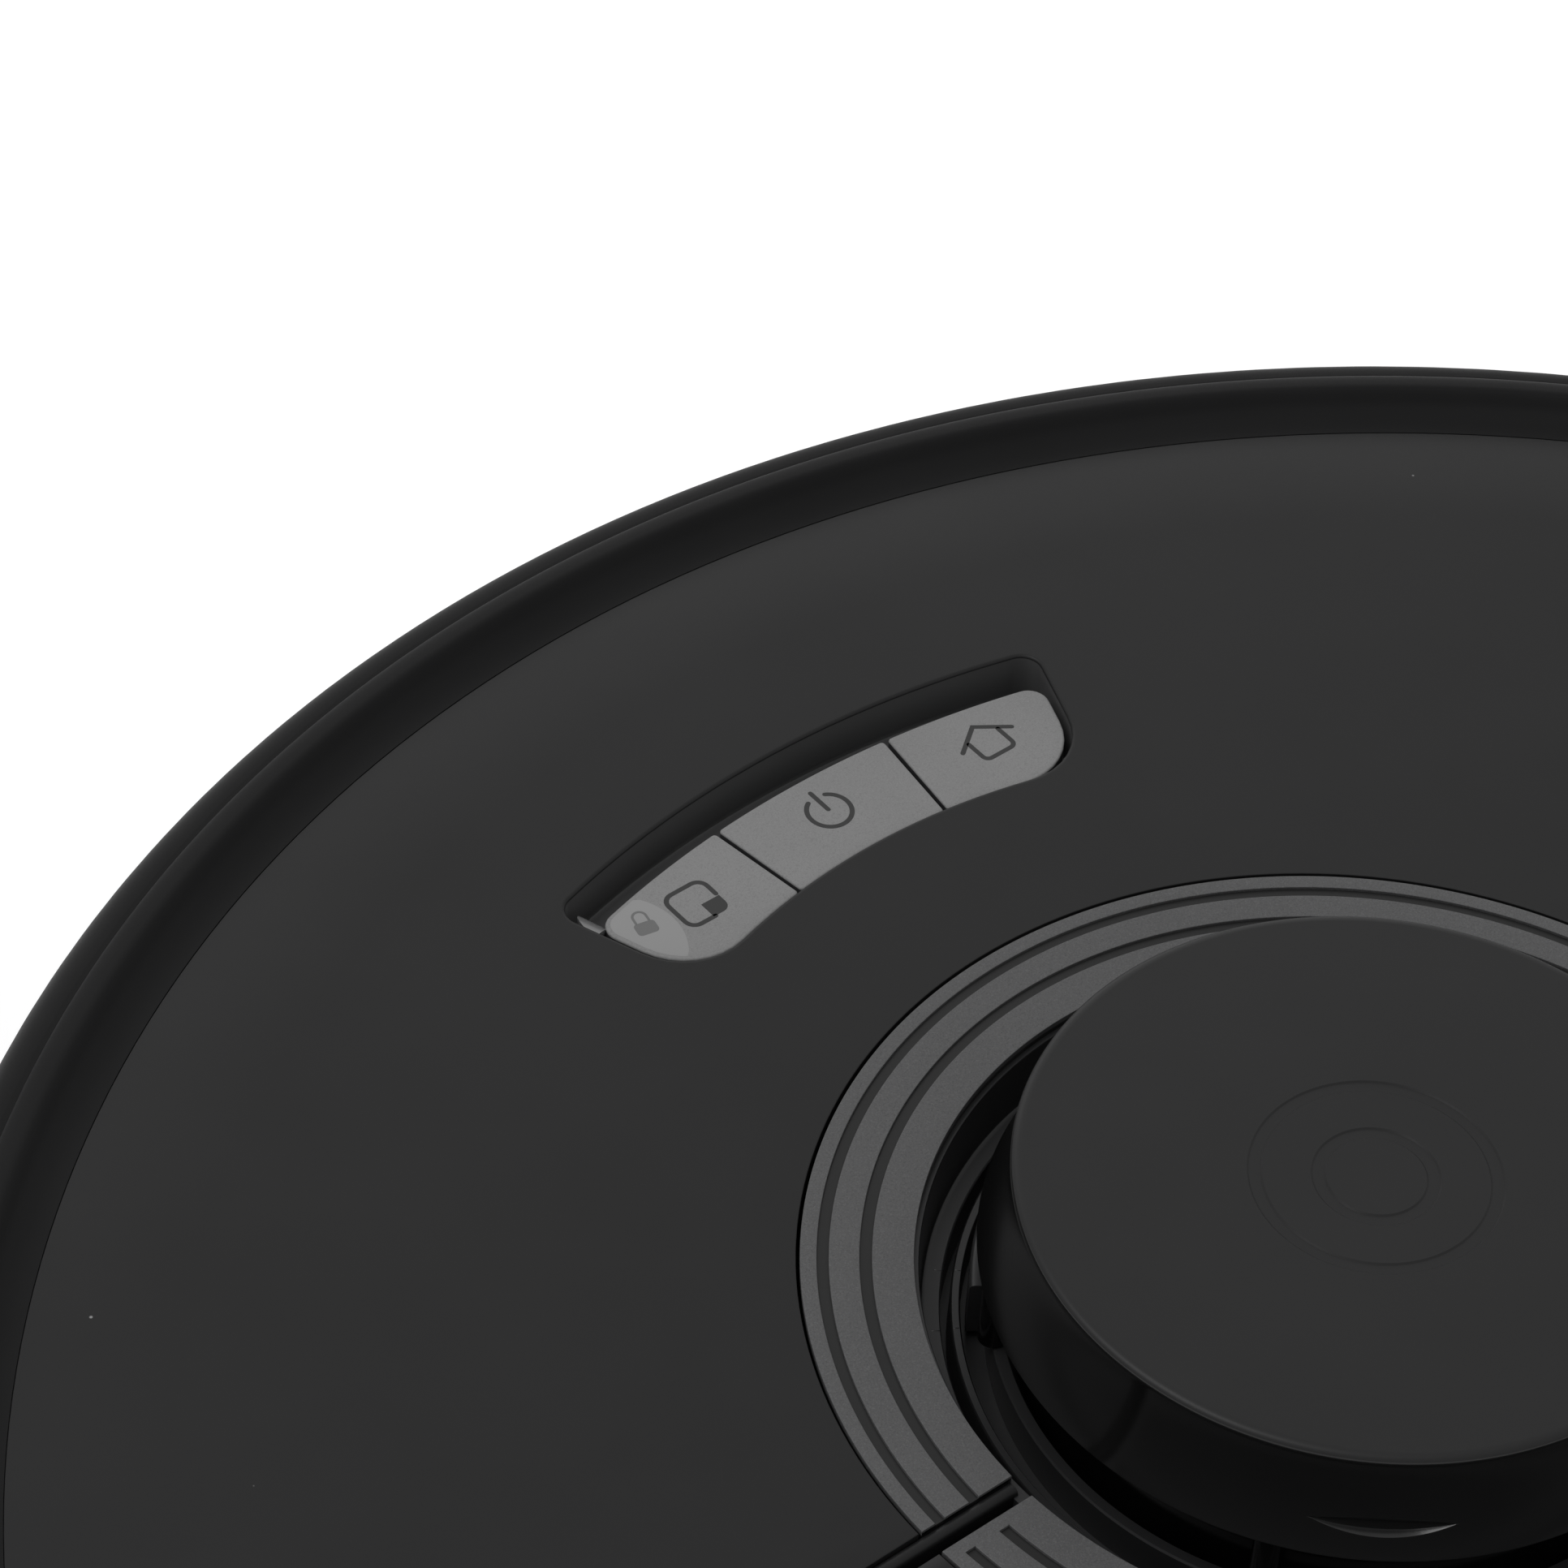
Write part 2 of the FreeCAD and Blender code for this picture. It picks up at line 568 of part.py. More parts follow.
def belt_slot():
    """The gap in the well's wall that the belt runs out through."""
    return spun(bar(20, 72, "belt_width + 2.5"), MOTOR_ANGLE, (30, -36, "belt_low - 1"), (0, "turret_y", 0))


def belt_path(extra):
    """Outline of the belt's loop: two circles and the straight runs that touch both."""
    big, small = value("pulley_radius") + extra, value("motor_pulley") + extra
    reach = value("motor_reach")
    lean = math.acos((big - small) / reach)
    turret = FreeCAD.Vector(0, value("turret_y"), 0)
    axis = FreeCAD.Vector(math.cos(math.radians(MOTOR_ANGLE)), math.sin(math.radians(MOTOR_ANGLE)), 0)
    motor = turret + axis * reach

    def on_circle(centre, radius, turn):
        angle = math.radians(MOTOR_ANGLE) + turn
        return centre + FreeCAD.Vector(math.cos(angle), math.sin(angle), 0) * radius

    points = [on_circle(turret, big, lean), on_circle(turret, big, math.pi), on_circle(turret, big, -lean),
              on_circle(motor, small, -lean), on_circle(motor, small, 0), on_circle(motor, small, lean)]
    wire = Part.Wire([Part.Arc(*points[:3]).toShape(), Part.LineSegment(points[2], points[3]).toShape(),
                      Part.Arc(*points[3:]).toShape(), Part.LineSegment(points[5], points[0]).toShape()])
    return Part.Face(wire)


def drive():
    """Motor, pulley and belt that turn the rotor."""
    x, y = motor_spot()
    keep("lidar_motor", fuse(rod(10, 15, x, y, 49), rod(3, 1, x, y, 64)))
    keep("motor_pulley", cut(fuse(rod("motor_pulley", 4.4, x, y, 65.2), rod("motor_pulley + 1", 0.5, x, y, 65.2)),
                             rod(1, 10, x, y, 60)))
    loop = belt_path(0.08 + value("belt_thick")).cut(belt_path(0.08))
    belt = doc.addObject("Part::Feature", "Belt")
    belt.Shape = loop.extrude(UP * value("belt_width"))
    belt.Placement = FreeCAD.Placement(FreeCAD.Vector(0, 0, value("belt_low")), FreeCAD.Rotation())
    keep("lidar_belt", belt)


# ---------------------------------------------------------------- dust path
def bin_block(grow, low, high):
    """The bin's plan, rounded at the rear to follow the body, between two heights."""
    return common(rod("bin_round + (%s)" % grow, "(%s) - (%s)" % (high, low), 0, 0, low),
                  block("-bin_half - (%s)" % grow, "bin_half + (%s)" % grow, -170,
                        "bin_front + (%s)" % grow, low, high))


def dust_bin():
    outer = bin_block(0, "bin_low", "bin_high")
    inner = bin_block("-bin_wall", "bin_low + bin_wall", "bin_high + 5")
    mouth = block(-42, 42, "bin_front - 5", "bin_front + 5", 38, 56)
    filter_hole = block("-bin_half - 5", "-bin_half + 5", -112, -56, 24, 58)
    keep("bin_tub", cut(outer, inner, mouth, filter_hole))
    lid = bin_block(0, "bin_high", "bin_high + 2.2")
    grip = rounded(block(-30, 30, -100, -88, "bin_high + 2", "bin_high + 7"), 2.4,
                   lambda edge: edge.Vertexes[0].Z > value("bin_high") + 6)
    keep("bin_cover", fuse(lid, grip))
    frame = cut(block("-bin_half", "-bin_half + 5", -111.8, -56.2, 24.2, 57.8),
                block("-bin_half - 1", "-bin_half + 7", -109, -59, 27, 55))
    keep("filter_frame", frame)
    pleats = [block("-bin_half + 0.8", "-bin_half + 4.8", -109 + 2.5 * number, -107.6 + 2.5 * number, 27, 55)
              for number in range(20)]
    backing = block("-bin_half + 2.4", "-bin_half + 3.2", -109, -59, 27, 55)
    keep("bin_filter", fuse(backing, *pleats))


def fan():
    x, y = "fan_x", "fan_y"
    can = cut(rod("fan_radius", 40, x, y, 16), rod("fan_radius - 2", 36, x, y, 18))
    inlet = block("fan_x + 15", "fan_x + 40", "fan_y - 12", "fan_y + 12", 42, 51)
    outlet = block("fan_x - 40", "fan_x - 15", "fan_y - 12", "fan_y + 2", 30, 41)
    keep("fan_housing", cut(can, inlet, outlet))
    keep("fan_motor", fuse(rod(14, 12, x, y, 18), rod(2, 4, x, y, 30)))
    blades = [spun(bar(14, 1.2, 7), 40 * number, (5, 0, 0), (x, y, 36.4), 35) for number in range(9)]
    keep("fan_impeller", cut(fuse(rod(20, 1.6, x, y, 35), rod(6, 8, x, y, 35), *blades), rod(2.05, 20, x, y, 30)))


def brush_room():
    """The space that the main brush turns in."""
    return rod("brush_room", "2 * brush_half + 12", "-brush_half - 6", "brush_y", "brush_z", "X")


def main_brush():
    y, z = "brush_y", "brush_z"
    low = "-brush_half"
    keep("brush_core", fuse(rod("core_radius", "2 * brush_half", low, y, z, "X"),
                            rod(3, "2 * brush_half + 11", "-brush_half - 5.5", y, z, "X")))
    keep("brush_bristles", cut(rod("brush_radius", "2 * brush_half - 4", "2 - brush_half", y, z, "X"),
                               rod("core_radius", "2 * brush_half", low, y, z, "X")))
    ends = []
    for x in ("-brush_half - 6", "brush_half + 0.5"):
        holder = rod(6, 5.5, x, y, z, "X")
        ends.append(cut(holder, rod(3.05, 8, "%s - 1" % x, y, z, "X")))
    keep("brush_bearings", group(*ends))
    arch = rod("brush_room + 2", "2 * brush_half + 16", "-brush_half - 8", y, z, "X")
    duct = block(-46, 46, "bin_front + 0.5", "brush_y", 36, 58)
    duct_room = block(-44, 44, "bin_front - 1", "brush_y - 2", 38, 56)
    keep("brush_housing", cut(fuse(arch, duct), brush_room(), duct_room, block(-100, 100, -60, 60, -10, 12.6)))
    keep("brush_guard", cut(block("-brush_half - 8.8", "brush_half + 8.8", "brush_y - 25.8", "brush_y + 25.8", 9, 12.4),
                            block("-brush_half - 1", "brush_half + 1", "brush_y - 19.2", "brush_y + 19.2", 0, 20),
                            brush_room()))
    keep("brush_motor", fuse(rod(11, 40, 20, 34, 30, "X"), rod(3, 12, 60, 34, 30, "X")))


def side_brush():
    x, y = "side_x", "side_y"
    keep("side_brush_motor", fuse(rod(14, 24, x, y, 14), rod(3, 9, x, y, 5.2)))
    hub = cut(rod("hub_radius", 3.6, x, y, 4.6), rod(3.0, 6, x, y, 5.2), rod(1.3, 9, x, y, 3))
    keep("side_brush_hub", hub)
    screw_slot = block("side_x - 0.4", "side_x + 0.4", "side_y - 2", "side_y + 2", 3, 4.1)
    keep("side_brush_screw", cut(rod(2.6, 0.9, x, y, 3.7), screw_slot))
    arms = [spun(bar("side_reach - hub_radius", 5, 1.6), degrees, ("hub_radius", -2.5, 0), (x, y, 3))
            for degrees in (35, 155, 275)]
    collar = cut(rod("hub_radius + 0.5", 1.8, x, y, 2.8), rod(3.4, 10, x, y, 0))
    keep("side_brush_bristles", fuse(collar, *arms))


# ---------------------------------------------------------------- running gear
def drive_wheel(side, sign):
    axle = "wheel_radius"
    near = "wheel_in" if sign > 0 else "-wheel_in - wheel_width"
    keep("wheel_tyre_" + side, rounded(cut(rod("wheel_radius", "wheel_width", near, 0, axle, "X"),
                                           rod("wheel_radius - 6", "wheel_width + 2", "%s - 1" % near, 0, axle, "X")),
                                       1.5, lambda edge: edge.Length > 2 * math.pi * (value("wheel_radius") - 1)))
    stub = "wheel_in - 12" if sign > 0 else "-wheel_in - 1"
    disc = rod("wheel_radius - 6", "wheel_width", near, 0, axle, "X")
    dish = rod("wheel_radius - 9", 7, "wheel_in + wheel_width - 6" if sign > 0 else "-wheel_in - wheel_width - 1",
               0, axle, "X")
    keep("wheel_hub_" + side, fuse(cut(disc, dish), rod(4, 13, stub, 0, axle, "X")))
    arm_low = "well_in + 1.5" if sign > 0 else "-well_in - 12.5"
    arm = fuse(rod(14, 11, arm_low, 0, axle, "X"), rod(8, 11, arm_low, "pivot_y", "pivot_z", "X"),
               block(arm_low, "%s + 11" % arm_low, 0, "pivot_y", "wheel_radius - 8", "wheel_radius + 9"))
    motor = block(arm_low, "%s + 11" % arm_low, -12, 26, "wheel_radius + 4", "wheel_radius + 20")
    keep("wheel_arm_" + side, cut(fuse(arm, motor), rod(4.06, 30, "%s - 5" % arm_low, 0, axle, "X"),
                                  rod("pivot_radius + 0.05", 30, "%s - 5" % arm_low, "pivot_y", "pivot_z", "X")))


def running_gear():
    drive_wheel("left", -1)
    drive_wheel("right", 1)
    length = "well_out - well_in + 3.2"
    keep("suspension_pins", group(*[rod("pivot_radius", length, low, "pivot_y", "pivot_z", "X")
                                    for low in ("well_in - 1.6", "-well_out - 1.6")]))
    axle_y = "caster_y - trail"
    drum = rod("caster_radius", 18, 0, "caster_y", 7.5)
    stem = rod(4, 13, 0, "caster_y", 25)
    slot = block(-8.2, 8.2, "caster_y - 18", "caster_y + 18", 4, 23.4)
    ears = common(rod("caster_radius", 8, 0, "caster_y", 6),
                  block(-12.5, 12.5, "caster_y - trail - 5", "caster_y - trail + 5", 6, 12))
    keep("caster_fork", cut(fuse(drum, stem, ears), slot, rod(1.5, 40, -20, axle_y, "caster_wheel", "X")))
    keep("caster_axle", rod(1.5, 23, -11.5, axle_y, "caster_wheel", "X"))
    keep("caster_wheel", rounded(cut(rod("caster_wheel", 15, -7.5, axle_y, "caster_wheel", "X"),
                                     rod(1.56, 20, -10, axle_y, "caster_wheel", "X")),
                                 2, lambda edge: edge.Length > 2 * math.pi * (value("caster_wheel") - 1)))


def power():
    low, high = "battery_y - battery_deep / 2", "battery_y + battery_deep / 2"
    keep("battery", rounded(block("-battery_half", "battery_half", low, high, 13.2, "13.2 + battery_high"), 4,
                            lambda edge: abs(edge.Length - value("2 * battery_half")) < 0.1))
    keep("battery_cover", block("-battery_half - 5.8", "battery_half + 5.8", "battery_y - 27.8",
                                "battery_y + 27.8", 9, 11.4))
    board = block(-62, 62, 56, 122, 44, 45.6)
    chips = [block(-20, 4, 70, 94, 45, 48), block(24, 38, 74, 88, 45, 47.4), block(-52, -34, 100, 112, 45, 50),
             block(30, 56, 104, 114, 45, 52), block(-56, -48, 62, 90, 45, 51), rod(4, 9, 36, 64, 45),
             rod(4, 9, 25, 64, 45)]
    keep("main_board", fuse(board, *chips))


front_cover()
bin_lid()
hinge_pins()
ring_trim()
upper_shell()
bumper()
rear_shell()
chassis()
case_screws()
deck()
sensors()
keys()
turret()
dust_bin()
fan()
main_brush()
side_brush()
running_gear()
power()
doc.recompute()

# ---------------------------------------------------------------- checks and files
for item in doc.Objects:
    assert "Invalid" not in item.State and "Error" not in item.State, (item.Name, item.Label, item.State)
os.makedirs("parts", exist_ok=True)
for name, part in pieces.items():
    assert not part.Shape.isNull() and part.Shape.isValid(), name
    part.Shape.exportStep("parts/%s.step" % name)
    print("%-22s %2d solids %9.1f mm3" % (name, len(part.Shape.Solids), part.Shape.Volume))
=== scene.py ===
"""Round robot vacuum: looks, camera and light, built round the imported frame.

Pieces are drawn in millimetres, with +Y the front and +Z up, and become metres when they are made.
"""
import json
import math
import random

import bmesh
import bpy
from mathutils import Matrix, Vector
from mathutils.geometry import delaunay_2d_cdt


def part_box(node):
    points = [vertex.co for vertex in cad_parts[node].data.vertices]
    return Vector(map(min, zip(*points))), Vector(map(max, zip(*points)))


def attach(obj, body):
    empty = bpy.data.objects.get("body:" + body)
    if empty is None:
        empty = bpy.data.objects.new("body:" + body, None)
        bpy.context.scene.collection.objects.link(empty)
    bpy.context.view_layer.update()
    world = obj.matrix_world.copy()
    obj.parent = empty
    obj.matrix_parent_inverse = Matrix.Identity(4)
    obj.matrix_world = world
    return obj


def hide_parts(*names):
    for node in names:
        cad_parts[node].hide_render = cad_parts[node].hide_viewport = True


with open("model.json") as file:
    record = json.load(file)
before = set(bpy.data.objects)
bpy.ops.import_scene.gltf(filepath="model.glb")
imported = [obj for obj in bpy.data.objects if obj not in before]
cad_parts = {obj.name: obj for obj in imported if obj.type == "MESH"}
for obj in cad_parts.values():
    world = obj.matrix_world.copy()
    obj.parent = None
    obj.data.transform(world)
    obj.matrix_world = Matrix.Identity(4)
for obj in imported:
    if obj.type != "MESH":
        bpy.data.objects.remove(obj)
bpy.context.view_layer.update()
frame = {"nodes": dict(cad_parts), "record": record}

MM = 0.001


# ---- sizes, from the frame
def high(node):
    """The upper corner of a CAD node's box, in millimetres."""
    return Vector(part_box(node)[1]) / MM


PLATE = high("front_cover").z
RING_OUTER = high("ring_trim_front").x
TURRET_Y = high("ring_trim_front").y - RING_OUTER
RING_INNER = 47.4
KEY_TOP = high("key_power").z
CAP_TOP = high("lidar_cap").z
KEY_THICK = 2.5
KEY_NEAR = 81.0
KEY_FAR = 93.8
KEY_END = 20.2
KEY_SPLIT = 7.45
KEY_GAP = 0.34
FAR_BEND = 125.0
RECESS_NEAR = 80.7
RECESS_FAR = 98.6
RECESS_END = 20.7
TRAY_FLOOR = 74.2
PLATE_RADIUS = 161.7
PLATE_FLAT = 146.0
PLATE_FALL = 1.0
SKIN = 2.2
LID_EDGE = TURRET_Y - 1.4
BAR_EDGE = TURRET_Y + 0.2
COVER_EDGE = TURRET_Y + 1.8
RING_GAP = 0.4
TURRET = (0.0, TURRET_Y)


# ---- plan outlines
def on_circle(radius, degrees, centre=(0.0, 0.0)):
    """A point on a circle; degrees run anticlockwise from +X."""
    angle = math.radians(degrees)
    return (centre[0] + radius * math.cos(angle), centre[1] + radius * math.sin(angle))


def arc(radius, start, stop, steps, centre=(0.0, 0.0)):
    return [on_circle(radius, start + (stop - start) * step / steps, centre) for step in range(steps + 1)]


def bend(centre, radius, first, last, steps=8):
    """Points of the shorter arc about a centre from one direction to another."""
    start = math.degrees(math.atan2(first[1], first[0]))
    turn = (math.degrees(math.atan2(last[1], last[0])) - start + 180) % 360 - 180
    return arc(radius, start, start + turn, steps, centre)


def soften(corners, steps=6):
    """A closed outline from (x, y, radius) corners, each rounded by its radius."""
    points = []
    for number, (x, y, radius) in enumerate(corners):
        here = Vector((x, y))
        back = Vector(corners[number - 1][:2]) - here
        ahead = Vector(corners[(number + 1) % len(corners)][:2]) - here
        if not radius:
            points.append((x, y))
            continue
        half = back.angle(ahead) / 2
        reach = radius / math.tan(half)
        start = here + back.normalized() * reach
        stop = here + ahead.normalized() * reach
        middle = here + (back.normalized() + ahead.normalized()).normalized() * radius / math.sin(half)
        points += bend(middle, radius, start - middle, stop - middle, steps)
    return points


def inset(loop, distance):
    """The outline moved to its left, which is inwards where it runs anticlockwise."""
    moved = []
    for number, point in enumerate(loop):
        here = Vector(point)
        back = (here - Vector(loop[number - 1])).normalized()
        ahead = (Vector(loop[(number + 1) % len(loop)]) - here).normalized()
        normal = Vector((-back.y - ahead.y, back.x + ahead.x)).normalized()
        lean = max(0.5, normal.dot(Vector((-ahead.y, ahead.x))))
        moved.append(tuple(here + normal * distance / lean))
    return moved


def inside(x, y, loop):
    """Whether a point lies inside a closed outline."""
    within = False
    for number, (x1, y1) in enumerate(loop):
        x0, y0 = loop[number - 1]
        if (y0 > y) != (y1 > y) and x < (x1 - x0) * (y - y0) / (y1 - y0) + x0:
            within = not within
    return within


# ---- solids
def skin(bm, outer, holes, thick, edges, height, guides=()):
    """A sheet with rounded upper edges.  The outline runs anticlockwise and its holes clockwise.

    edges holds one rounding for each loop, height(x, y) is the top, and guides are open lines that
    the top's mesh follows.
    """
    loops = [outer] + list(holes)
    support = [inset(loop, edge * 1.3 + 0.01) for loop, edge in zip(loops, edges)]
    points, lines = [], []
    for loop in support:
        first = len(points)
        points += loop
        lines += [(first + step, first + (step + 1) % len(loop)) for step in range(len(loop))]
    for guide in guides:
        first = len(points)
        points += guide
        lines += [(first + step, first + step + 1) for step in range(len(guide) - 1)]
    made = delaunay_2d_cdt([Vector(point) for point in points], lines, [], 1, 1e-5)
    flat, faces, origins = made[0], made[2], made[3]
    where = {source: spot for spot, sources in enumerate(origins) for source in sources}
    middles = [sum((flat[v] for v in face), Vector((0, 0))) / len(face) for face in faces]
    faces = [face for face, (x, y) in zip(faces, middles)
             if inside(x, y, support[0]) and not any(inside(x, y, hole) for hole in support[1:])]
    used = sorted({v for face in faces for v in face})
    tops = {v: bm.verts.new((flat[v].x, flat[v].y, height(*flat[v]))) for v in used}
    lows = {v: bm.verts.new((flat[v].x, flat[v].y, height(*flat[v]) - thick)) for v in used}
    for face in faces:
        bm.faces.new([tops[v] for v in face])
        bm.faces.new([lows[v] for v in reversed(face)])
    first = 0
    for loop, edge in zip(loops, edges):
        places = [where[first + step] for step in range(len(loop))]
        rows = [[tops[spot] for spot in places]]
        for turn in (0, 30, 60, 90):
            angle = math.radians(turn)
            row = inset(loop, edge * (1 - math.sin(angle)))
            drop = edge * (1 - math.cos(angle))
            rows.append([bm.verts.new((x, y, height(x, y) - drop)) for x, y in row])
        rows.append([bm.verts.new((x, y, height(x, y) - thick)) for x, y in loop])
        rows.append([lows[spot] for spot in places])
        stitch(bm, rows)
        first += len(loop)


def stitch(bm, rows):
    """Quads between rows of points, each row a closed loop."""
    for upper, lower in zip(rows, rows[1:]):
        for step in range(len(upper)):
            ahead = (step + 1) % len(upper)
            corners = [upper[step], upper[ahead], lower[ahead], lower[step]]
            if len(set(corners)) == 4:
                bm.faces.new(corners)


def spin(bm, section, centre=(0.0, 0.0), steps=192, start=None, stop=None, angles=None):
    """Turns a closed (radius, height) section about an upright line.

    start and stop are functions from a radius to degrees; without them the turn is complete, in even
    steps or at the angles given.
    """
    rows = []
    angles = angles or [360.0 * step / steps for step in range(steps)]
    count = len(angles) if start is None else steps + 1
    for step in range(count):
        row = []
        for radius, z in section:
            if start is None:
                degrees = angles[step]
            else:
                degrees = start(radius) + (stop(radius) - start(radius)) * step / steps
            x, y = on_circle(radius, degrees, centre)
            row.append(bm.verts.new((x, y, z)))
        rows.append(row)
    if start is None:
        rows.append(rows[0])
    else:
        bm.faces.new(rows[0])
        bm.faces.new(list(reversed(rows[-1])))
    stitch(bm, rows)


def stroke(points, width, steps=5):
    """Outline of a pen stroke of even width with round ends along an open line."""
    line = [Vector(point) for point in points]
    left, right = [], []
    for number, here in enumerate(line):
        back = (here - line[number - 1]).normalized() if number else (line[1] - here).normalized()
        ahead = (line[number + 1] - here).normalized() if number + 1 < len(line) else back
        normal = Vector((-back.y - ahead.y, back.x + ahead.x)).normalized()
        side = normal * width / 2 / max(0.4, normal.dot(Vector((-ahead.y, ahead.x))))
        left.append(tuple(here + side))
        right.append(tuple(here - side))

    def cap(end, towards):
        sideways = Vector((towards.y, -towards.x))
        return [tuple(end + (sideways * math.cos(math.pi * step / steps)
                             + towards * math.sin(math.pi * step / steps)) * width / 2)
                for step in range(1, steps)]

    last = cap(line[-1], (line[-1] - line[-2]).normalized())
    first = cap(line[0], (line[0] - line[1]).normalized())
    return right + last + list(reversed(left)) + first


def rounded_rod(bm, start, stop, radius, sides=24, edge=0.3):
    """A rod between two points with softened ends."""
    start, stop = Vector(start), Vector(stop)
    along = (stop - start).normalized()
    turn = along.to_track_quat("Z", "Y")
    length = (stop - start).length
    rows = []
    start_end = [(0, radius - edge), (edge * 0.3, radius - edge * 0.3), (edge, radius)]
    stop_end = [(length - reach, width) for reach, width in reversed(start_end)]
    for reach, width in start_end + stop_end:
        rows.append([bm.verts.new(start + turn @ Vector((*on_circle(width, 360 * side / sides), reach)))
                     for side in range(sides)])
    stitch(bm, rows)
    bm.faces.new(list(reversed(rows[0])))
    bm.faces.new(rows[-1])


def block(bm, size, place, edge=0.0, segments=2):
    """A block of a given size, with softened edges, placed by a matrix."""
    made = bmesh.ops.create_cube(bm, size=1.0, matrix=place @ Matrix.Diagonal((*size, 1)))["verts"]
    if edge:
        lines = list({line for vert in made for line in vert.link_edges})
        bmesh.ops.bevel(bm, geom=lines, offset=edge, segments=segments, profile=0.5, affect="EDGES")


def box(bm, lower, upper, edge=0.0):
    """A block between two corners, its edges rounded."""
    lower, upper = Vector(lower), Vector(upper)
    block(bm, upper - lower, Matrix.Translation((lower + upper) / 2), edge, 3)


# ---- materials
def node(tree, kind, **inputs):
    made = tree.nodes.new(kind)
    for name, value in inputs.items():
        made.inputs[name].default_value = value
    return made


def grey(level, blue=0.0):
    """A neutral colour, or one a little bluer."""
    return (level, level, level + blue)


def mixed(tree, factor, first, second):
    """A colour between two, by a factor socket; each colour is a value or a socket."""
    mix = tree.nodes.new("ShaderNodeMix")
    mix.data_type = "RGBA"
    tree.links.new(factor, mix.inputs["Factor"])
    for socket, colour in ((mix.inputs[6], first), (mix.inputs[7], second)):
        if isinstance(colour, bpy.types.NodeSocket):
            tree.links.new(colour, socket)
        else:
            socket.default_value = (*colour, 1)
    return mix.outputs[2]


def ramp(tree, source, start, stop, low_value=0.0, high_value=1.0):
    """Maps a socket's range to another, clamped."""
    scale = tree.nodes.new("ShaderNodeMapRange")
    for socket, number in zip(scale.inputs[1:5], (start, stop, low_value, high_value)):
        socket.default_value = number
    tree.links.new(source, scale.inputs[0])
    return scale.outputs[0]


def noise(tree, coordinates, cell, detail=3.0):
    """Noise with features about a size in millimetres."""
    made = node(tree, "ShaderNodeTexNoise", Scale=1 / (cell * MM), Detail=detail)
    tree.links.new(coordinates, made.inputs["Vector"])
    return made.outputs["Fac"]


def finish(name, colour, rough, grain=0.25, bump=0.02, drift=0.06, speckle=0.0, dust=0.0,
           metallic=0.0, coat=0.0, specular=0.5, streaks=None):
    """A surface with a fine grain, slow drift in tone and gloss, and optional speckle and dust.

    grain is the grain's size and bump its depth, in millimetres; dust is the size of a speck as a share
    of the cells that hold one each.
    """
    material = bpy.data.materials.new(name)
    material.use_nodes = True
    tree = material.node_tree
    shader = tree.nodes["Principled BSDF"]
    place = tree.nodes.new("ShaderNodeTexCoord").outputs["Object"]
    if streaks:
        stretch = tree.nodes.new("ShaderNodeMapping")
        stretch.inputs["Scale"].default_value = streaks
        tree.links.new(place, stretch.inputs["Vector"])
        place = stretch.outputs["Vector"]
    cloud = noise(tree, place, 18.0, 2.0)
    paler = [min(1.0, part * (1 + drift)) for part in colour]
    darker = [part * (1 - drift) for part in colour]
    tone = mixed(tree, ramp(tree, cloud, 0.3, 0.7), darker, paler)
    fine = noise(tree, place, grain)
    if speckle:
        flake = noise(tree, place, 0.16, 1.0)
        bright = [min(1.0, part * (1 + speckle)) for part in colour]
        tone = mixed(tree, ramp(tree, flake, 0.5, 0.78), tone, bright)
        dim = [part * (1 - speckle * 0.6) for part in colour]
        tone = mixed(tree, ramp(tree, noise(tree, place, 0.2, 1.0), 0.52, 0.75), tone, dim)
    if dust:
        cells = node(tree, "ShaderNodeTexVoronoi", Scale=1 / (14 * MM))
        tree.links.new(place, cells.inputs["Vector"])
        speck = ramp(tree, cells.outputs["Distance"], dust * 1.1, dust * 0.7)
        tone = mixed(tree, speck, tone, grey(0.22))
    tree.links.new(tone, shader.inputs["Base Color"])
    tree.links.new(ramp(tree, fine, 0.3, 0.7, rough * 0.94, rough * 1.06), shader.inputs["Roughness"])
    raised = node(tree, "ShaderNodeBump", Strength=0.5, Distance=bump * MM)
    tree.links.new(fine, raised.inputs["Height"])
    tree.links.new(raised.outputs["Normal"], shader.inputs["Normal"])
    shader.inputs["Metallic"].default_value = metallic
    shader.inputs["Coat Weight"].default_value = coat
    shader.inputs["Specular IOR Level"].default_value = specular
    return material


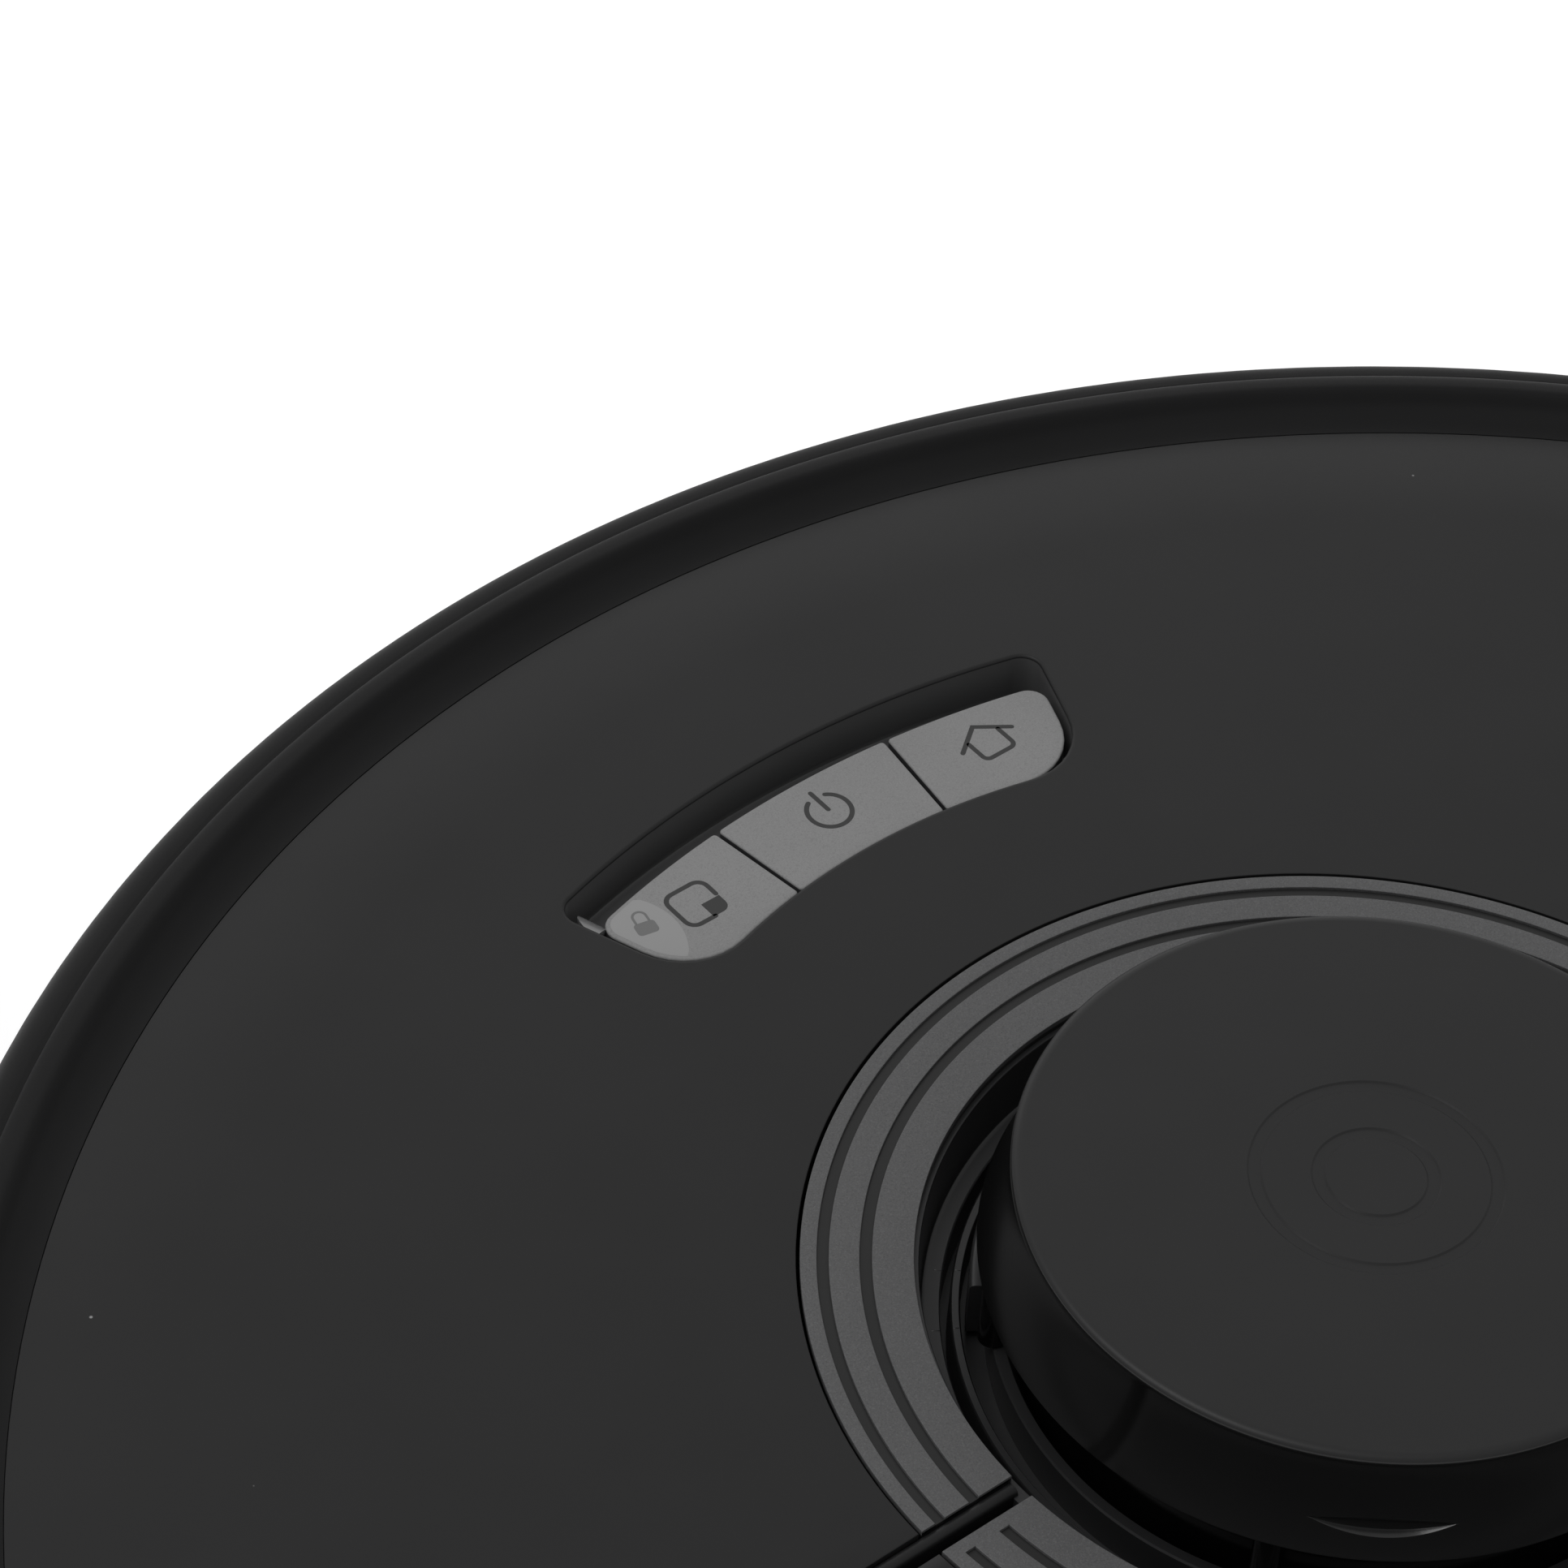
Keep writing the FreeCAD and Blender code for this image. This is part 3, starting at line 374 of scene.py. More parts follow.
LOOKS = {
    "plate_plastic": finish("satin_plate", grey(0.0105, 0.0002), 0.42, 0.3, 0.006, dust=0.016,
                            specular=0.2),
    "shell_plastic": finish("satin_shell", grey(0.0062, 0.0002), 0.5, 0.3, 0.006, specular=0.1),
    "gloss_black": finish("gloss_black", grey(0.003), 0.16, 0.6, 0.002, specular=0.5),
    "cap_plastic": finish("satin_cap", grey(0.012, 0.0002), 0.4, 0.3, 0.006, dust=0.022, specular=0.22),
    "ring_metallic": finish("metallic_ring", grey(0.072, 0.001), 0.45, 0.18, 0.02, speckle=0.4,
                            specular=0.25),
    "key_metallic": finish("metallic_keys", grey(0.175), 0.5, 0.18, 0.015, speckle=0.22, specular=0.25),
    "window_plastic": finish("dark_window", (0.006, 0.0015, 0.002), 0.08, 0.8, 0.001, specular=0.35),
    "underside_plastic": finish("spark_texture", grey(0.014, 0.0005), 0.55, 0.5, 0.06, specular=0.3),
    "inner_plastic": finish("inner_plastic", grey(0.035, 0.002), 0.5, 0.4, 0.03, specular=0.3),
    "bin_plastic": finish("smoked_bin", (0.045, 0.048, 0.052), 0.18, 0.6, 0.004, coat=0.2),
    "steel": finish("bright_steel", grey(0.55, 0.01), 0.28, 0.2, 0.01, metallic=1.0, streaks=(1, 1, 8)),
    "motor_steel": finish("zinc_can", grey(0.45, 0.01), 0.4, 0.3, 0.01, metallic=1.0, streaks=(6, 1, 1)),
    "brass": finish("gold_contact", (0.75, 0.52, 0.2), 0.3, 0.2, 0.01, metallic=1.0),
    "rubber": finish("soft_rubber", grey(0.014), 0.7, 0.3, 0.03, specular=0.3),
    "tyre": finish("tyre_rubber", grey(0.017), 0.78, 0.4, 0.05, specular=0.3),
    "bristle": finish("nylon_bristle", grey(0.02), 0.5, 0.3, 0.02, streaks=(0.2, 0.2, 0.2)),
    "filter_paper": finish("filter_paper", (0.72, 0.71, 0.66), 0.9, 0.3, 0.06),
    "board_green": finish("circuit_green", (0.01, 0.07, 0.03), 0.3, 0.5, 0.02, speckle=0.3),
    "battery_wrap": finish("blue_wrap", (0.012, 0.04, 0.16), 0.3, 4.0, 0.04),
}
ICON_INK = finish("icon_ink", grey(0.03), 0.5, 0.2, 0.004, specular=0.2)
FAINT_INK = finish("faint_ink", grey(0.12), 0.5, 0.2, 0.004, specular=0.2)
PALE_INK = finish("pale_ink", grey(0.22), 0.45, 0.2, 0.004, specular=0.25)
WELL = finish("well_plastic", grey(0.02, 0.0005), 0.33, 0.4, 0.006, specular=0.3)
# Tray colour: far paler than the cover's dark plastic, a painted reflection that also lifts the recess out
# of its shade.
TRAY_PAINTED_LIGHT = finish("tray_painted_reflection", grey(0.065, 0.0005), 0.3, 0.4, 0.006, specular=0.3)
# Ramp colour: a painted highlight, paler than the plastic's own tone.
RAMP_HIGHLIGHT = finish("ramp_painted_highlight", grey(0.11, 0.001), 0.22, 0.4, 0.004, specular=0.4)
GROOVE = finish("ring_groove", grey(0.012), 0.42, 0.3, 0.006, specular=0.22)


def dress_frame():
    """Every CAD node that stays gets the material of its slot."""
    for subpart in frame["record"]["subparts"]:
        mesh = frame["nodes"][subpart["node"]].data
        mesh.materials.clear()
        mesh.materials.append(LOOKS[subpart["material_slot"]])


def new_object(name, data):
    made = bpy.data.objects.new(name, data)
    bpy.context.collection.objects.link(made)
    return made


def piece(name, body, bm, slot, replaces=(), look=None, sharp=34):
    """Makes a drawn mesh into a piece of the object that rides on a body."""
    bmesh.ops.remove_doubles(bm, verts=bm.verts, dist=1e-4)
    bmesh.ops.recalc_face_normals(bm, faces=bm.faces)
    bm.transform(Matrix.Scale(MM, 4))
    mesh = bpy.data.meshes.new(name)
    bm.to_mesh(mesh)
    bm.free()
    mesh.polygons.foreach_set("use_smooth", [True] * len(mesh.polygons))
    mesh.set_sharp_from_angle(angle=math.radians(sharp))
    mesh.materials.append(look or LOOKS[slot])
    made = new_object(name, mesh)
    even = made.modifiers.new("even_normals", "WEIGHTED_NORMAL")
    even.keep_sharp = True
    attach(made, body)
    if replaces:
        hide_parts(*replaces)
    return made


# ---- covers
def plate_height(x, y):
    """Top of the covers: flat, then falling towards the edge."""
    share = max(0.0, (math.hypot(x, y) - PLATE_FLAT) / (PLATE_RADIUS - PLATE_FLAT))
    return PLATE - PLATE_FALL * share ** 2


def half_chord(radius, centre_y, y):
    """Half the length of the chord that a line across the robot cuts from a circle."""
    return math.sqrt(radius ** 2 - (y - centre_y) ** 2)


def arc_past(radius, y, front, steps):
    """The part of a circle about the robot's middle that lies in front of a line, or behind it."""
    rim = math.degrees(math.asin(y / radius))
    start, stop = (rim, 180 - rim) if front else (180 - rim, 360 + rim)
    return arc(radius, start, stop, steps)


def half_plate(y, front):
    """Outline of the cover in front of a line, or behind it, with the turret's hole open to the line."""
    hole = RING_OUTER + RING_GAP
    well = math.degrees(math.asin((y - TURRET_Y) / hole))
    if front:
        return arc_past(PLATE_RADIUS, y, front, 120) + arc(hole, 180 - well, well, 96, TURRET)
    return arc_past(PLATE_RADIUS, y, front, 200) + arc(hole, 360 + well, 180 - well, 110, TURRET)


def height_guides(y, front):
    """Arcs that the sloping edge of a cover follows."""
    line, steps = (y + 1.5, 110) if front else (y - 1.5, 180)
    return [arc_past(radius, line, front, steps) for radius in (PLATE_FLAT, 149, 152, 155, 157.5, 159.5)]


def end_of_key(degrees, side, near, far, near_round, far_round):
    """Points up one end of a key outline, from its near edge to its far edge.

    degrees is clockwise from the front; side is +1 where the key lies anticlockwise of this end.
    """
    angle = math.radians(degrees)
    outward = Vector((math.cos(angle), -math.sin(angle))) * side
    along = Vector((math.sin(angle), math.cos(angle)))
    lean = angle - side * math.asin(near_round / (near + near_round))
    centre = Vector((math.sin(lean), math.cos(lean))) * (near + near_round)
    points = bend(centre, near_round, -centre, outward)
    bend_centre = Vector((0, far - FAR_BEND))
    offset = -outward * far_round - bend_centre
    reach = -along.dot(offset)
    reach += math.sqrt(reach ** 2 - offset.length_squared + (FAR_BEND - far_round) ** 2)
    centre = along * reach - outward * far_round
    points += bend(centre, far_round, outward, centre - bend_centre)
    return points


def key_outline(near, far, left, right, left_rounds, right_rounds):
    """Anticlockwise outline of a key or the recess, between two angles clockwise from the front."""
    rising = end_of_key(right, 1, near, far, *right_rounds)
    falling = list(reversed(end_of_key(left, -1, near, far, *left_rounds)))
    far_centre = Vector((0, far - FAR_BEND))
    right_end, left_end = Vector(rising[-1]) - far_centre, Vector(falling[0]) - far_centre
    across = bend(far_centre, FAR_BEND, right_end, left_end, 24)
    back = bend((0, 0), near, falling[-1], rising[0], 20)
    return [(x, y + TURRET_Y) for x, y in rising + across[1:-1] + falling + back[1:-1]]


# Corner roundings of a key's end, near the turret and far from it.
BIG = (8.5, 2.4)
SQUARE = (0.5, 0.5)
RECESS = key_outline(RECESS_NEAR, RECESS_FAR, -RECESS_END, RECESS_END, BIG, BIG)


def second_look(made, look, chosen):
    """Gives a piece a second material on the faces whose middle, in millimetres, is chosen."""
    made.data.materials.append(look)
    for face in made.data.polygons:
        if chosen(face.center / MM):
            face.material_index = 1


def front_cover():
    """The fixed cover with the recess for the keys, whose walls run down to a tray; walls and tray are
    coloured pale as painted reflected light.
    """
    bm = bmesh.new()
    skin(bm, half_plate(COVER_EDGE, True), [list(reversed(RECESS))], SKIN, (0.1, 0.35), plate_height,
         height_guides(COVER_EDGE, True))
    cover = piece("cover_skin", "body", bm, "plate_plastic", ["front_cover"])
    # The cover's recess walls take the pale tray colour: painted reflected light.
    second_look(cover, TRAY_PAINTED_LIGHT, lambda at: at.z < PLATE - 0.3 and at.y > 100 and abs(at.x) < 40
                and math.hypot(at.x, at.y - TURRET_Y) < RECESS_FAR + 3)
    bm = bmesh.new()
    wall = 1.5
    rows = [(inset(RECESS, -wall), TRAY_FLOOR - wall), (inset(RECESS, -wall), PLATE - SKIN),
            (RECESS, PLATE - SKIN), (RECESS, TRAY_FLOOR + 0.6), (inset(RECESS, 0.2), TRAY_FLOOR + 0.15),
            (inset(RECESS, 0.7), TRAY_FLOOR)]
    walls = [[bm.verts.new((x, y, z)) for x, y in loop] for loop, z in rows]
    stitch(bm, walls)
    bm.faces.new(list(reversed(walls[0])))
    bm.faces.new(walls[-1])
    # The tray's pale colour is painted reflected light.
    piece("key_tray", "body", bm, "plate_plastic", look=TRAY_PAINTED_LIGHT)
    recess_ramp()
    hinge_bars()


def recess_ramp():
    """The slope at the left end of the recess, behind the spot key, coloured pale grey as a painted
    highlight.
    """
    bm = bmesh.new()
    rows = []
    near, foot = 94.3, PLATE - 6.3
    for degrees, far, drop in ((20.62, 96.3, 0.36), (20.3, 97.2, 0.5), (19.9, 97.9, 0.8), (19.5, 98.2, 1.3),
                               (19.2, 98.3, 2.0), (19.0, 98.35, 3.0), (18.95, 98.35, 6.2)):
        corners = ((near, foot), (near, PLATE - drop), (far, PLATE - drop), (far, foot))
        rows.append([bm.verts.new((*on_circle(radius, 90 + degrees, TURRET), z)) for radius, z in corners])
    stitch(bm, rows)
    bm.faces.new(rows[0])
    bm.faces.new(rows[-1])
    piece("recess_ramp", "body", bm, "plate_plastic", look=RAMP_HIGHLIGHT, sharp=50)


KNUCKLE_FIRST = 66.0
KNUCKLE_PITCH = 9.2
KNUCKLE_LONG = 9.0
KNUCKLE_RADIUS = 1.3
PIN_HEIGHT = PLATE - 1.5


def knuckle(bm, side, number, arm):
    """One hinge knuckle of a row of three, with an arm towards the part that carries it."""
    start = side * (KNUCKLE_FIRST + KNUCKLE_PITCH * number)
    low_x, high_x = sorted((start, start + side * KNUCKLE_LONG))
    low_y, high_y = sorted((TURRET_Y, TURRET_Y + arm))
    rounded_rod(bm, (low_x, TURRET_Y, PIN_HEIGHT), (high_x, TURRET_Y, PIN_HEIGHT), KNUCKLE_RADIUS)
    box(bm, (low_x, low_y, PIN_HEIGHT - 1.1), (high_x, high_y, PIN_HEIGHT))


def hinge_bars():
    """The rounded bar along the cover's rear edge, the channel floor and the hinge knuckles."""
    for side, word in ((-1, "left"), (1, "right")):
        bm = bmesh.new()
        inner = half_chord(RING_INNER + 0.4, TURRET_Y, BAR_EDGE)
        outer = half_chord(PLATE_RADIUS - 0.8, 0, BAR_EDGE)
        width = COVER_EDGE - BAR_EDGE
        middle = (COVER_EDGE + BAR_EDGE) / 2
        rising = [(-0.5, -5.0), (-0.5, -1.1), (-0.42, -0.72), (-0.22, -0.47)]
        section = rising + [(0.0, -0.4)] + [(-y, z) for y, z in reversed(rising)]
        rows = []
        for step in range(41):
            x = inner + (outer - inner) * step / 40
            top = plate_height(x, middle)
            rows.append([bm.verts.new((side * x, middle + width * y, top + z)) for y, z in section])
        stitch(bm, rows)
        bm.faces.new(rows[0])
        bm.faces.new(rows[-1])
        piece("hinge_bar_" + word, "body", bm, "plate_plastic")
        bm = bmesh.new()
        low_x, high_x = sorted((side * inner, side * outer))
        box(bm, (low_x, LID_EDGE - 2, PLATE - 5.4), (high_x, BAR_EDGE, PLATE - 4.2), 0.2)
        for number in (0, 2):
            knuckle(bm, side, number, 6)
        piece("hinge_floor_" + word, "body", bm, "plate_plastic")


def bin_lid():
    """The hinged cover over the bin, with the middle hinge knuckles and ribs below it."""
    bm = bmesh.new()
    skin(bm, half_plate(LID_EDGE, False), [], SKIN, (0.1,), plate_height, height_guides(LID_EDGE, False))
    piece("lid_skin", "lid", bm, "plate_plastic", ["bin_lid"])
    bm = bmesh.new()
    for side in (-1, 1):
        knuckle(bm, side, 1, -6)
    for x in (-120, -60, 0, 60, 120):
        rear = -half_chord(150, 0, x)
        front = -45 if abs(x) < 70 else 20
        box(bm, (x - 0.6, rear, PLATE - 4.2), (x + 0.6, front, PLATE - SKIN + 0.1), 0.2)
    piece("lid_knuckles", "lid", bm, "plate_plastic")


# ---- trim ring
GROOVES = ((57.76, 56.5), (53.2, 51.9))
RING_LOW = PLATE - 1.2
RING_HIGH = PLATE + 0.05
GROOVE_FLOOR = PLATE - 0.3
BRIDGE = 1.5


def band(bm, outer, inner, z0, z1, ends, edge=0.12, steps=140):
    """Part of a ring round the turret with softened upper edges."""
    section = [(inner, z0), (outer, z0), (outer, z1 - edge), (outer - edge * 0.3, z1 - edge * 0.3),
               (outer - edge, z1), (inner + edge, z1), (inner + edge * 0.3, z1 - edge * 0.3),
               (inner, z1 - edge)]
    spin(bm, section, TURRET, steps, *ends)


def beside(offset, side, behind):
    """Degrees about the turret at which a circle crosses a line parallel to the hinge."""
    def degrees(radius):
        angle = math.degrees(math.asin(offset / radius))
        if side < 0:
            return 180 - angle
        return 360 + angle if behind else angle
    return degrees


def ring_trim():
    """Metallic bands on a darker ring, which shows in the grooves between them.

    On the lid's half the grooves end a bridge's width short of the hinge line.
    """
    tops = [(RING_OUTER, GROOVES[0][0]), (GROOVES[0][1], GROOVES[1][0]), (GROOVES[1][1], RING_INNER)]
    for word, body, offset, behind in (("front", "body", COVER_EDGE - TURRET_Y + 0.02, False),
                                       ("rear", "lid", LID_EDGE - TURRET_Y, True)):
        start, stop = beside(offset, 1, behind), beside(offset, -1, behind)
        if behind:
            start, stop = stop, start
        bm = bmesh.new()
        band(bm, RING_OUTER - 0.05, RING_INNER + 0.05, RING_LOW, GROOVE_FLOOR, (start, stop))
        piece("ring_base_" + word, body, bm, "ring_metallic", look=GROOVE)
        bm = bmesh.new()
        for outer, inner in tops:
            band(bm, outer, inner, GROOVE_FLOOR - 0.3, RING_HIGH, (start, stop))
        if behind:
            first = (start, beside(offset - BRIDGE, -1, True))
            second = (beside(offset - BRIDGE, 1, True), stop)
            for outer, inner in GROOVES:
                for ends in (first, second):
                    band(bm, outer + 0.1, inner - 0.1, GROOVE_FLOOR - 0.3, RING_HIGH - 0.002, ends, 0.01, 4)
        piece("ring_bands_" + word, body, bm, "ring_metallic", ["ring_trim_" + word])


# ---- keys
ICON_Y = 88.2
ICON_LIFT = 0.015


def on_key(points, degrees, reach=ICON_Y, spin_by=0.0):
    """Moves icon points, drawn with +Y outwards, to an angle clockwise from the front."""
    angle = math.radians(degrees + spin_by)
    place = math.radians(degrees)
    return [(reach * math.sin(place) + x * math.cos(angle) + y * math.sin(angle),
             TURRET_Y + reach * math.cos(place) - x * math.sin(angle) + y * math.cos(angle))
            for x, y in points]


def ink(name, body, outlines, look=ICON_INK, lift=ICON_LIFT):
    """Printed shapes: thin sheets that stand just proud of a key."""
    bm = bmesh.new()
    for outline in outlines:
        skin(bm, outline, [], 0.2, (0.005,), lambda x, y: KEY_TOP + lift)
    piece(name, body, bm, "key_metallic", look=look)


def keys():
    """The three keys, with dark sides and a stem below each."""
    inner = KEY_SPLIT + KEY_GAP
    shapes = {"key_home": (inner, KEY_END, SQUARE, BIG),
              "key_power": (-KEY_SPLIT, KEY_SPLIT, SQUARE, SQUARE),
              "key_spot": (-KEY_END, -inner, BIG, SQUARE)}
    foot = KEY_TOP - KEY_THICK
    for name, (left, right, left_rounds, right_rounds) in shapes.items():
        bm = bmesh.new()
        outline = key_outline(KEY_NEAR, KEY_FAR, left, right, left_rounds, right_rounds)
        skin(bm, outline, [], KEY_THICK, (0.24,), lambda x, y: KEY_TOP)
        x, y = on_key([(0, 0)], (left + right) / 2, 87.4)[0]
        rounded_rod(bm, (x, y, foot - 0.4), (x, y, foot + 0.2), 2.0, edge=0.1)
        cap = piece(name + "_cap", name, bm, "key_metallic", [name])
        # Key sides below the top take dark plastic: unpainted sides, and also painted shade in the gaps
        # between the keys.
        second_look(cap, LOOKS["inner_plastic"], lambda at: at.z < KEY_TOP - 0.35)
    icons()
    padlock()


def icons():
    """Generic symbols on the keys: power, home and spot cleaning."""
    pen = 0.58
    power = [stroke(on_key(arc(2.6, 118, 422, 40), 0), pen), stroke(on_key([(0, 0.2), (0, 3.4)], 0), pen)]
    ink("icon_power", "key_power", power)
    walls = soften([(-2.2, 0.9, 0), (-2.2, -2.3, 0.75), (2.2, -2.3, 0.75), (2.2, 0.9, 0)])
    roof = [(-3.7, 0.2), (0, 2.85), (3.7, 0.2)]
    home = [stroke(on_key(line, 14.3, 88.7, -14.3), pen) for line in (walls, roof)]
    ink("icon_home", "key_home", home)
    half = 2.75
    frame_line = soften([(0.6, -half, 0), (-half, -half, 1.3), (-half, half, 1.3), (half, half, 1.3),
                         (half, -0.1, 0)])
    corner_block = soften([(0.35, -0.45, 0), (0.35, -half, 0.01), (2.9, -half, 1.1), (2.9, -0.45, 0.01)])
    spot = [stroke(on_key(frame_line, -14.0, 88.4, 14.0), pen), on_key(corner_block, -14.0, 88.4, 14.0)]
    ink("icon_spot", "key_spot", spot)


def padlock():
    """The paler end of the spot key, with a faint padlock without characters."""
    whole = key_outline(KEY_NEAR + 0.5, KEY_FAR - 0.5, -KEY_END + 0.4, -12, (8.0, 1.9), SQUARE)
    centre, reach = Vector((-32.9, 118.2)), 8.1
    dense = []
    for number, point in enumerate(whole):
        back = Vector(whole[number - 1])
        count = math.ceil((Vector(point) - back).length / 0.5)
        dense += [tuple(back.lerp(Vector(point), step / count)) for step in range(count)]
    kept = [(Vector(point) - centre).length < reach for point in dense]
    first = next(number for number, here in enumerate(kept) if here and not kept[number - 1])
    zone = [dense[(first + step) % len(dense)] for step in range(sum(kept))]
    closing = bend(centre, reach, Vector(zone[-1]) - centre, Vector(zone[0]) - centre, 16)
    ink("pale_zone", "key_spot", [zone + closing[1:-1]], PALE_INK, 0.008)
    body_line = soften([(-1.3, -1.6, 0.5), (1.3, -1.6, 0.5), (1.3, 0.3, 0.5), (-1.3, 0.3, 0.5)])
    shackle = [(0.8, 0.4), *arc(0.8, 0, 180, 12, (0.0, 1.15)), (-0.8, 0.4)]
    block_shape, shackle_line = (on_key(line, -17.9, 91.2, 30) for line in (body_line, shackle))
    ink("icon_padlock", "key_spot", [block_shape, stroke(shackle_line, 0.3)], FAINT_INK, 0.02)


front_cover()
bin_lid()
ring_trim()
keys()


# ---- outer shells
RIM = 170.0
RIM_CREST = 167.2
RIM_SHOULDER = PLATE + 0.75
RIM_TOP = PLATE + 1.6
RIM_INNER = PLATE_RADIUS + 0.05
RIM_FALL = 2.55


def upper_shell():
    """The rim round the covers: rounded outer edge, crest and a smooth fall to the covers."""
    seat = PLATE - 2.9
    section = soften([(163.0, 44, 0.3), (165.5, 44, 0.3), (165.5, PLATE - 0.6, 0.4),
                      (166.5, PLATE + 0.6, 0.3), (RIM, PLATE + 0.55, 0.3)], 3)[:-2]
    crest = []
    for step in range(9):
        across, up = on_circle(1, 90 * step / 8)
        crest.append((RIM_CREST + (RIM - RIM_CREST) * across,
                      RIM_SHOULDER + (RIM_TOP - RIM_SHOULDER) * up))
    fall = []
    for step in range(1, 15):
        share = step / 14
        drop = RIM_FALL * (1 - (1 - share) ** 2.3) * min(1, 0.35 + 2.6 * share)
        fall.append((RIM_CREST + (RIM_INNER - RIM_CREST) * share, RIM_TOP - drop))
    ledge = [(RIM_INNER - 0.1, PLATE - 1.2), (RIM_INNER - 0.1, seat), (PLATE_RADIUS - 5, seat),
             (PLATE_RADIUS - 5, seat - 2), (163.0, PLATE - 6)]
    bm = bmesh.new()
    spin(bm, section + crest + fall + ledge, steps=360)
    piece("rim_shell", "body", bm, "shell_plastic", ["upper_shell"])


def turret_well():
    """The cup round the turret: wall, floor ring, slot, ridge and the raised pad on the left."""
    wall = 48.4
    lip = PLATE - 1.3
    floor = 72.6
    ridge = floor + 0.4
    section = [(0, 62), (wall, 62), (wall, lip), (46.9, lip), (46.8, lip - 0.15), (46.35, floor + 0.6),
               (46.15, floor + 0.15), (45.7, floor)]
    slot = [(44.3, floor), (44.15, floor - 0.15), (44.1, 67), (43.15, 67), (43.1, floor + 0.1),
            (42.9, ridge), (42.2, ridge), (42.0, floor + 0.1), (41.9, 69)]
    inner = [(39.2, 69), (39.1, 73.5), (38.9, 73.7), (37.8, 73.7), (37.8, 69), (37.8, 64), (14, 64),
             (14, 65), (12, 65), (12, 74.7), (0, 74.7)]
    bm = bmesh.new()
    spin(bm, section + slot + inner, TURRET, 240)
    piece("turret_cup", "body", bm, "inner_plastic", ["lidar_base"], look=WELL)
    bm = bmesh.new()
    spin(bm, soften([(39.5, 70, 0), (41.3, 70, 0), (41.3, 77.4, 0.6), (39.5, 77.4, 0.6)]), TURRET, 40,
         lambda radius: 117, lambda radius: 141)
    piece("turret_pad", "body", bm, "inner_plastic", look=WELL)
    bm = bmesh.new()
    for degrees in (144, 133):
        for near, far, z in ((42.25, 42.85, ridge), (44.3, 45.2, floor - 0.02)):
            rounded_rod(bm, (*on_circle(near, degrees, TURRET), z), (*on_circle(far, degrees, TURRET), z),
                        0.05, 8, 0.01)
    piece("turret_seams", "body", bm, "inner_plastic", look=LOOKS["gloss_black"])


SMILE_AT = 229.3
SMILE_HALF = 11.0
SMILE_LOW = 86.5
SMILE_HIGH = 88.9
SMILE_BEND = 1.4
SMILE_FADE = 6.0
SMILE_DEEP = 0.9
SKIRT_LOW = 83.8
SKIRT_TOP = CAP_TOP - 0.75
SKIRT_NARROW = 38.32


def skirt_radius(z):
    """Radius of the cap's flared side at a height."""
    share = (z - SKIRT_LOW) / (SKIRT_TOP - SKIRT_LOW)
    return SKIRT_NARROW + 2.68 * (1 - share) ** 1.7 + 0.12 * math.sin(math.pi * share)


def smile(bm):
    """A grin-shaped finger recess: the rows of the skirt bend to its outline and sink between its lips."""
    top_row = CAP_TOP - 3
    for vert in bm.verts:
        offset = Vector(vert.co.xy) - Vector(TURRET)
        z = vert.co.z
        around = abs((math.degrees(math.atan2(offset.y, offset.x)) - SMILE_AT + 180) % 360 - 180)
        on_skirt = offset.length > SKIRT_NARROW - 0.02 and SKIRT_LOW - 1e-4 < z < top_row
        if not on_skirt or around > SMILE_HALF + SMILE_FADE:
            continue
        across = min(1.0, around / SMILE_HALF)
        low_lip = SMILE_LOW + SMILE_BEND * across ** 2
        high_lip = low_lip + (SMILE_HIGH - SMILE_LOW) * (1 - across ** 2)
        share = 0
        if z <= SMILE_LOW:
            moved = SKIRT_LOW + (z - SKIRT_LOW) * (low_lip - SKIRT_LOW) / (SMILE_LOW - SKIRT_LOW)
        elif z < SMILE_HIGH:
            share = (z - SMILE_LOW) / (SMILE_HIGH - SMILE_LOW)
            moved = low_lip + share * (high_lip - low_lip)
        else:
            moved = high_lip + (z - SMILE_HIGH) * (top_row - high_lip) / (top_row - SMILE_HIGH)
        fade = min(1.0, (SMILE_HALF + SMILE_FADE - around) / SMILE_FADE)
        vert.co.z = z + (moved - z) * fade
        depth = SMILE_DEEP * (1 - across ** 2) * min(1.0, share * 9) * (1 - share) ** 0.8
        vert.co.xy = Vector(TURRET) + offset.normalized() * (skirt_radius(vert.co.z) - depth)


def lidar_cap():
    """The cap: satin top with a turned generic mark, softened edge and a glossy flared skirt."""
    rise = CAP_TOP
    edge = [(SKIRT_NARROW, SKIRT_TOP), (38.2, rise - 0.42), (37.95, rise - 0.17), (37.6, rise - 0.03),
            (37.1, rise)]
    mark = []
    for outer in (13.6, 6.9):
        mark += [(outer, rise), (outer - 0.2, rise - 0.16), (outer - 1.4, rise - 0.16), (outer - 1.6, rise)]
    mark.append((0, rise))
    lower = [(0, rise - 2), (36.6, rise - 2), (37.2, rise - 3), (37.6, 83.6), (37.9, 83.5), (40.6, 83.5),
             (40.9, 83.6)]
    heights = [SKIRT_LOW + (SMILE_LOW - SKIRT_LOW) * step / 4 for step in range(5)]
    heights += [SMILE_LOW + (SMILE_HIGH - SMILE_LOW) * (step / 16) ** 1.3 for step in range(1, 17)]
    heights += [SMILE_HIGH + (SKIRT_TOP - SMILE_HIGH) * step / 16 for step in range(1, 16)]
    side = [(skirt_radius(z), z) for z in heights]
    angles = list(range(360))
    angles += [SMILE_AT + quarter / 4 for quarter in range(-72, 72) if quarter % 4]
    bm = bmesh.new()
    spin(bm, lower + side + edge + mark, TURRET, angles=sorted(angles))
    smile(bm)
    for degrees in (33, 147, 213, 327):
        x, y = on_circle(39, degrees, TURRET)
        rounded_rod(bm, (x, y, 73.7), (x, y, 84.2), 1.6)
    cap = piece("turret_cap", "body", bm, "cap_plastic", ["lidar_cap"])
    second_look(cap, LOOKS["gloss_black"], lambda at: at.z < CAP_TOP - 0.35)


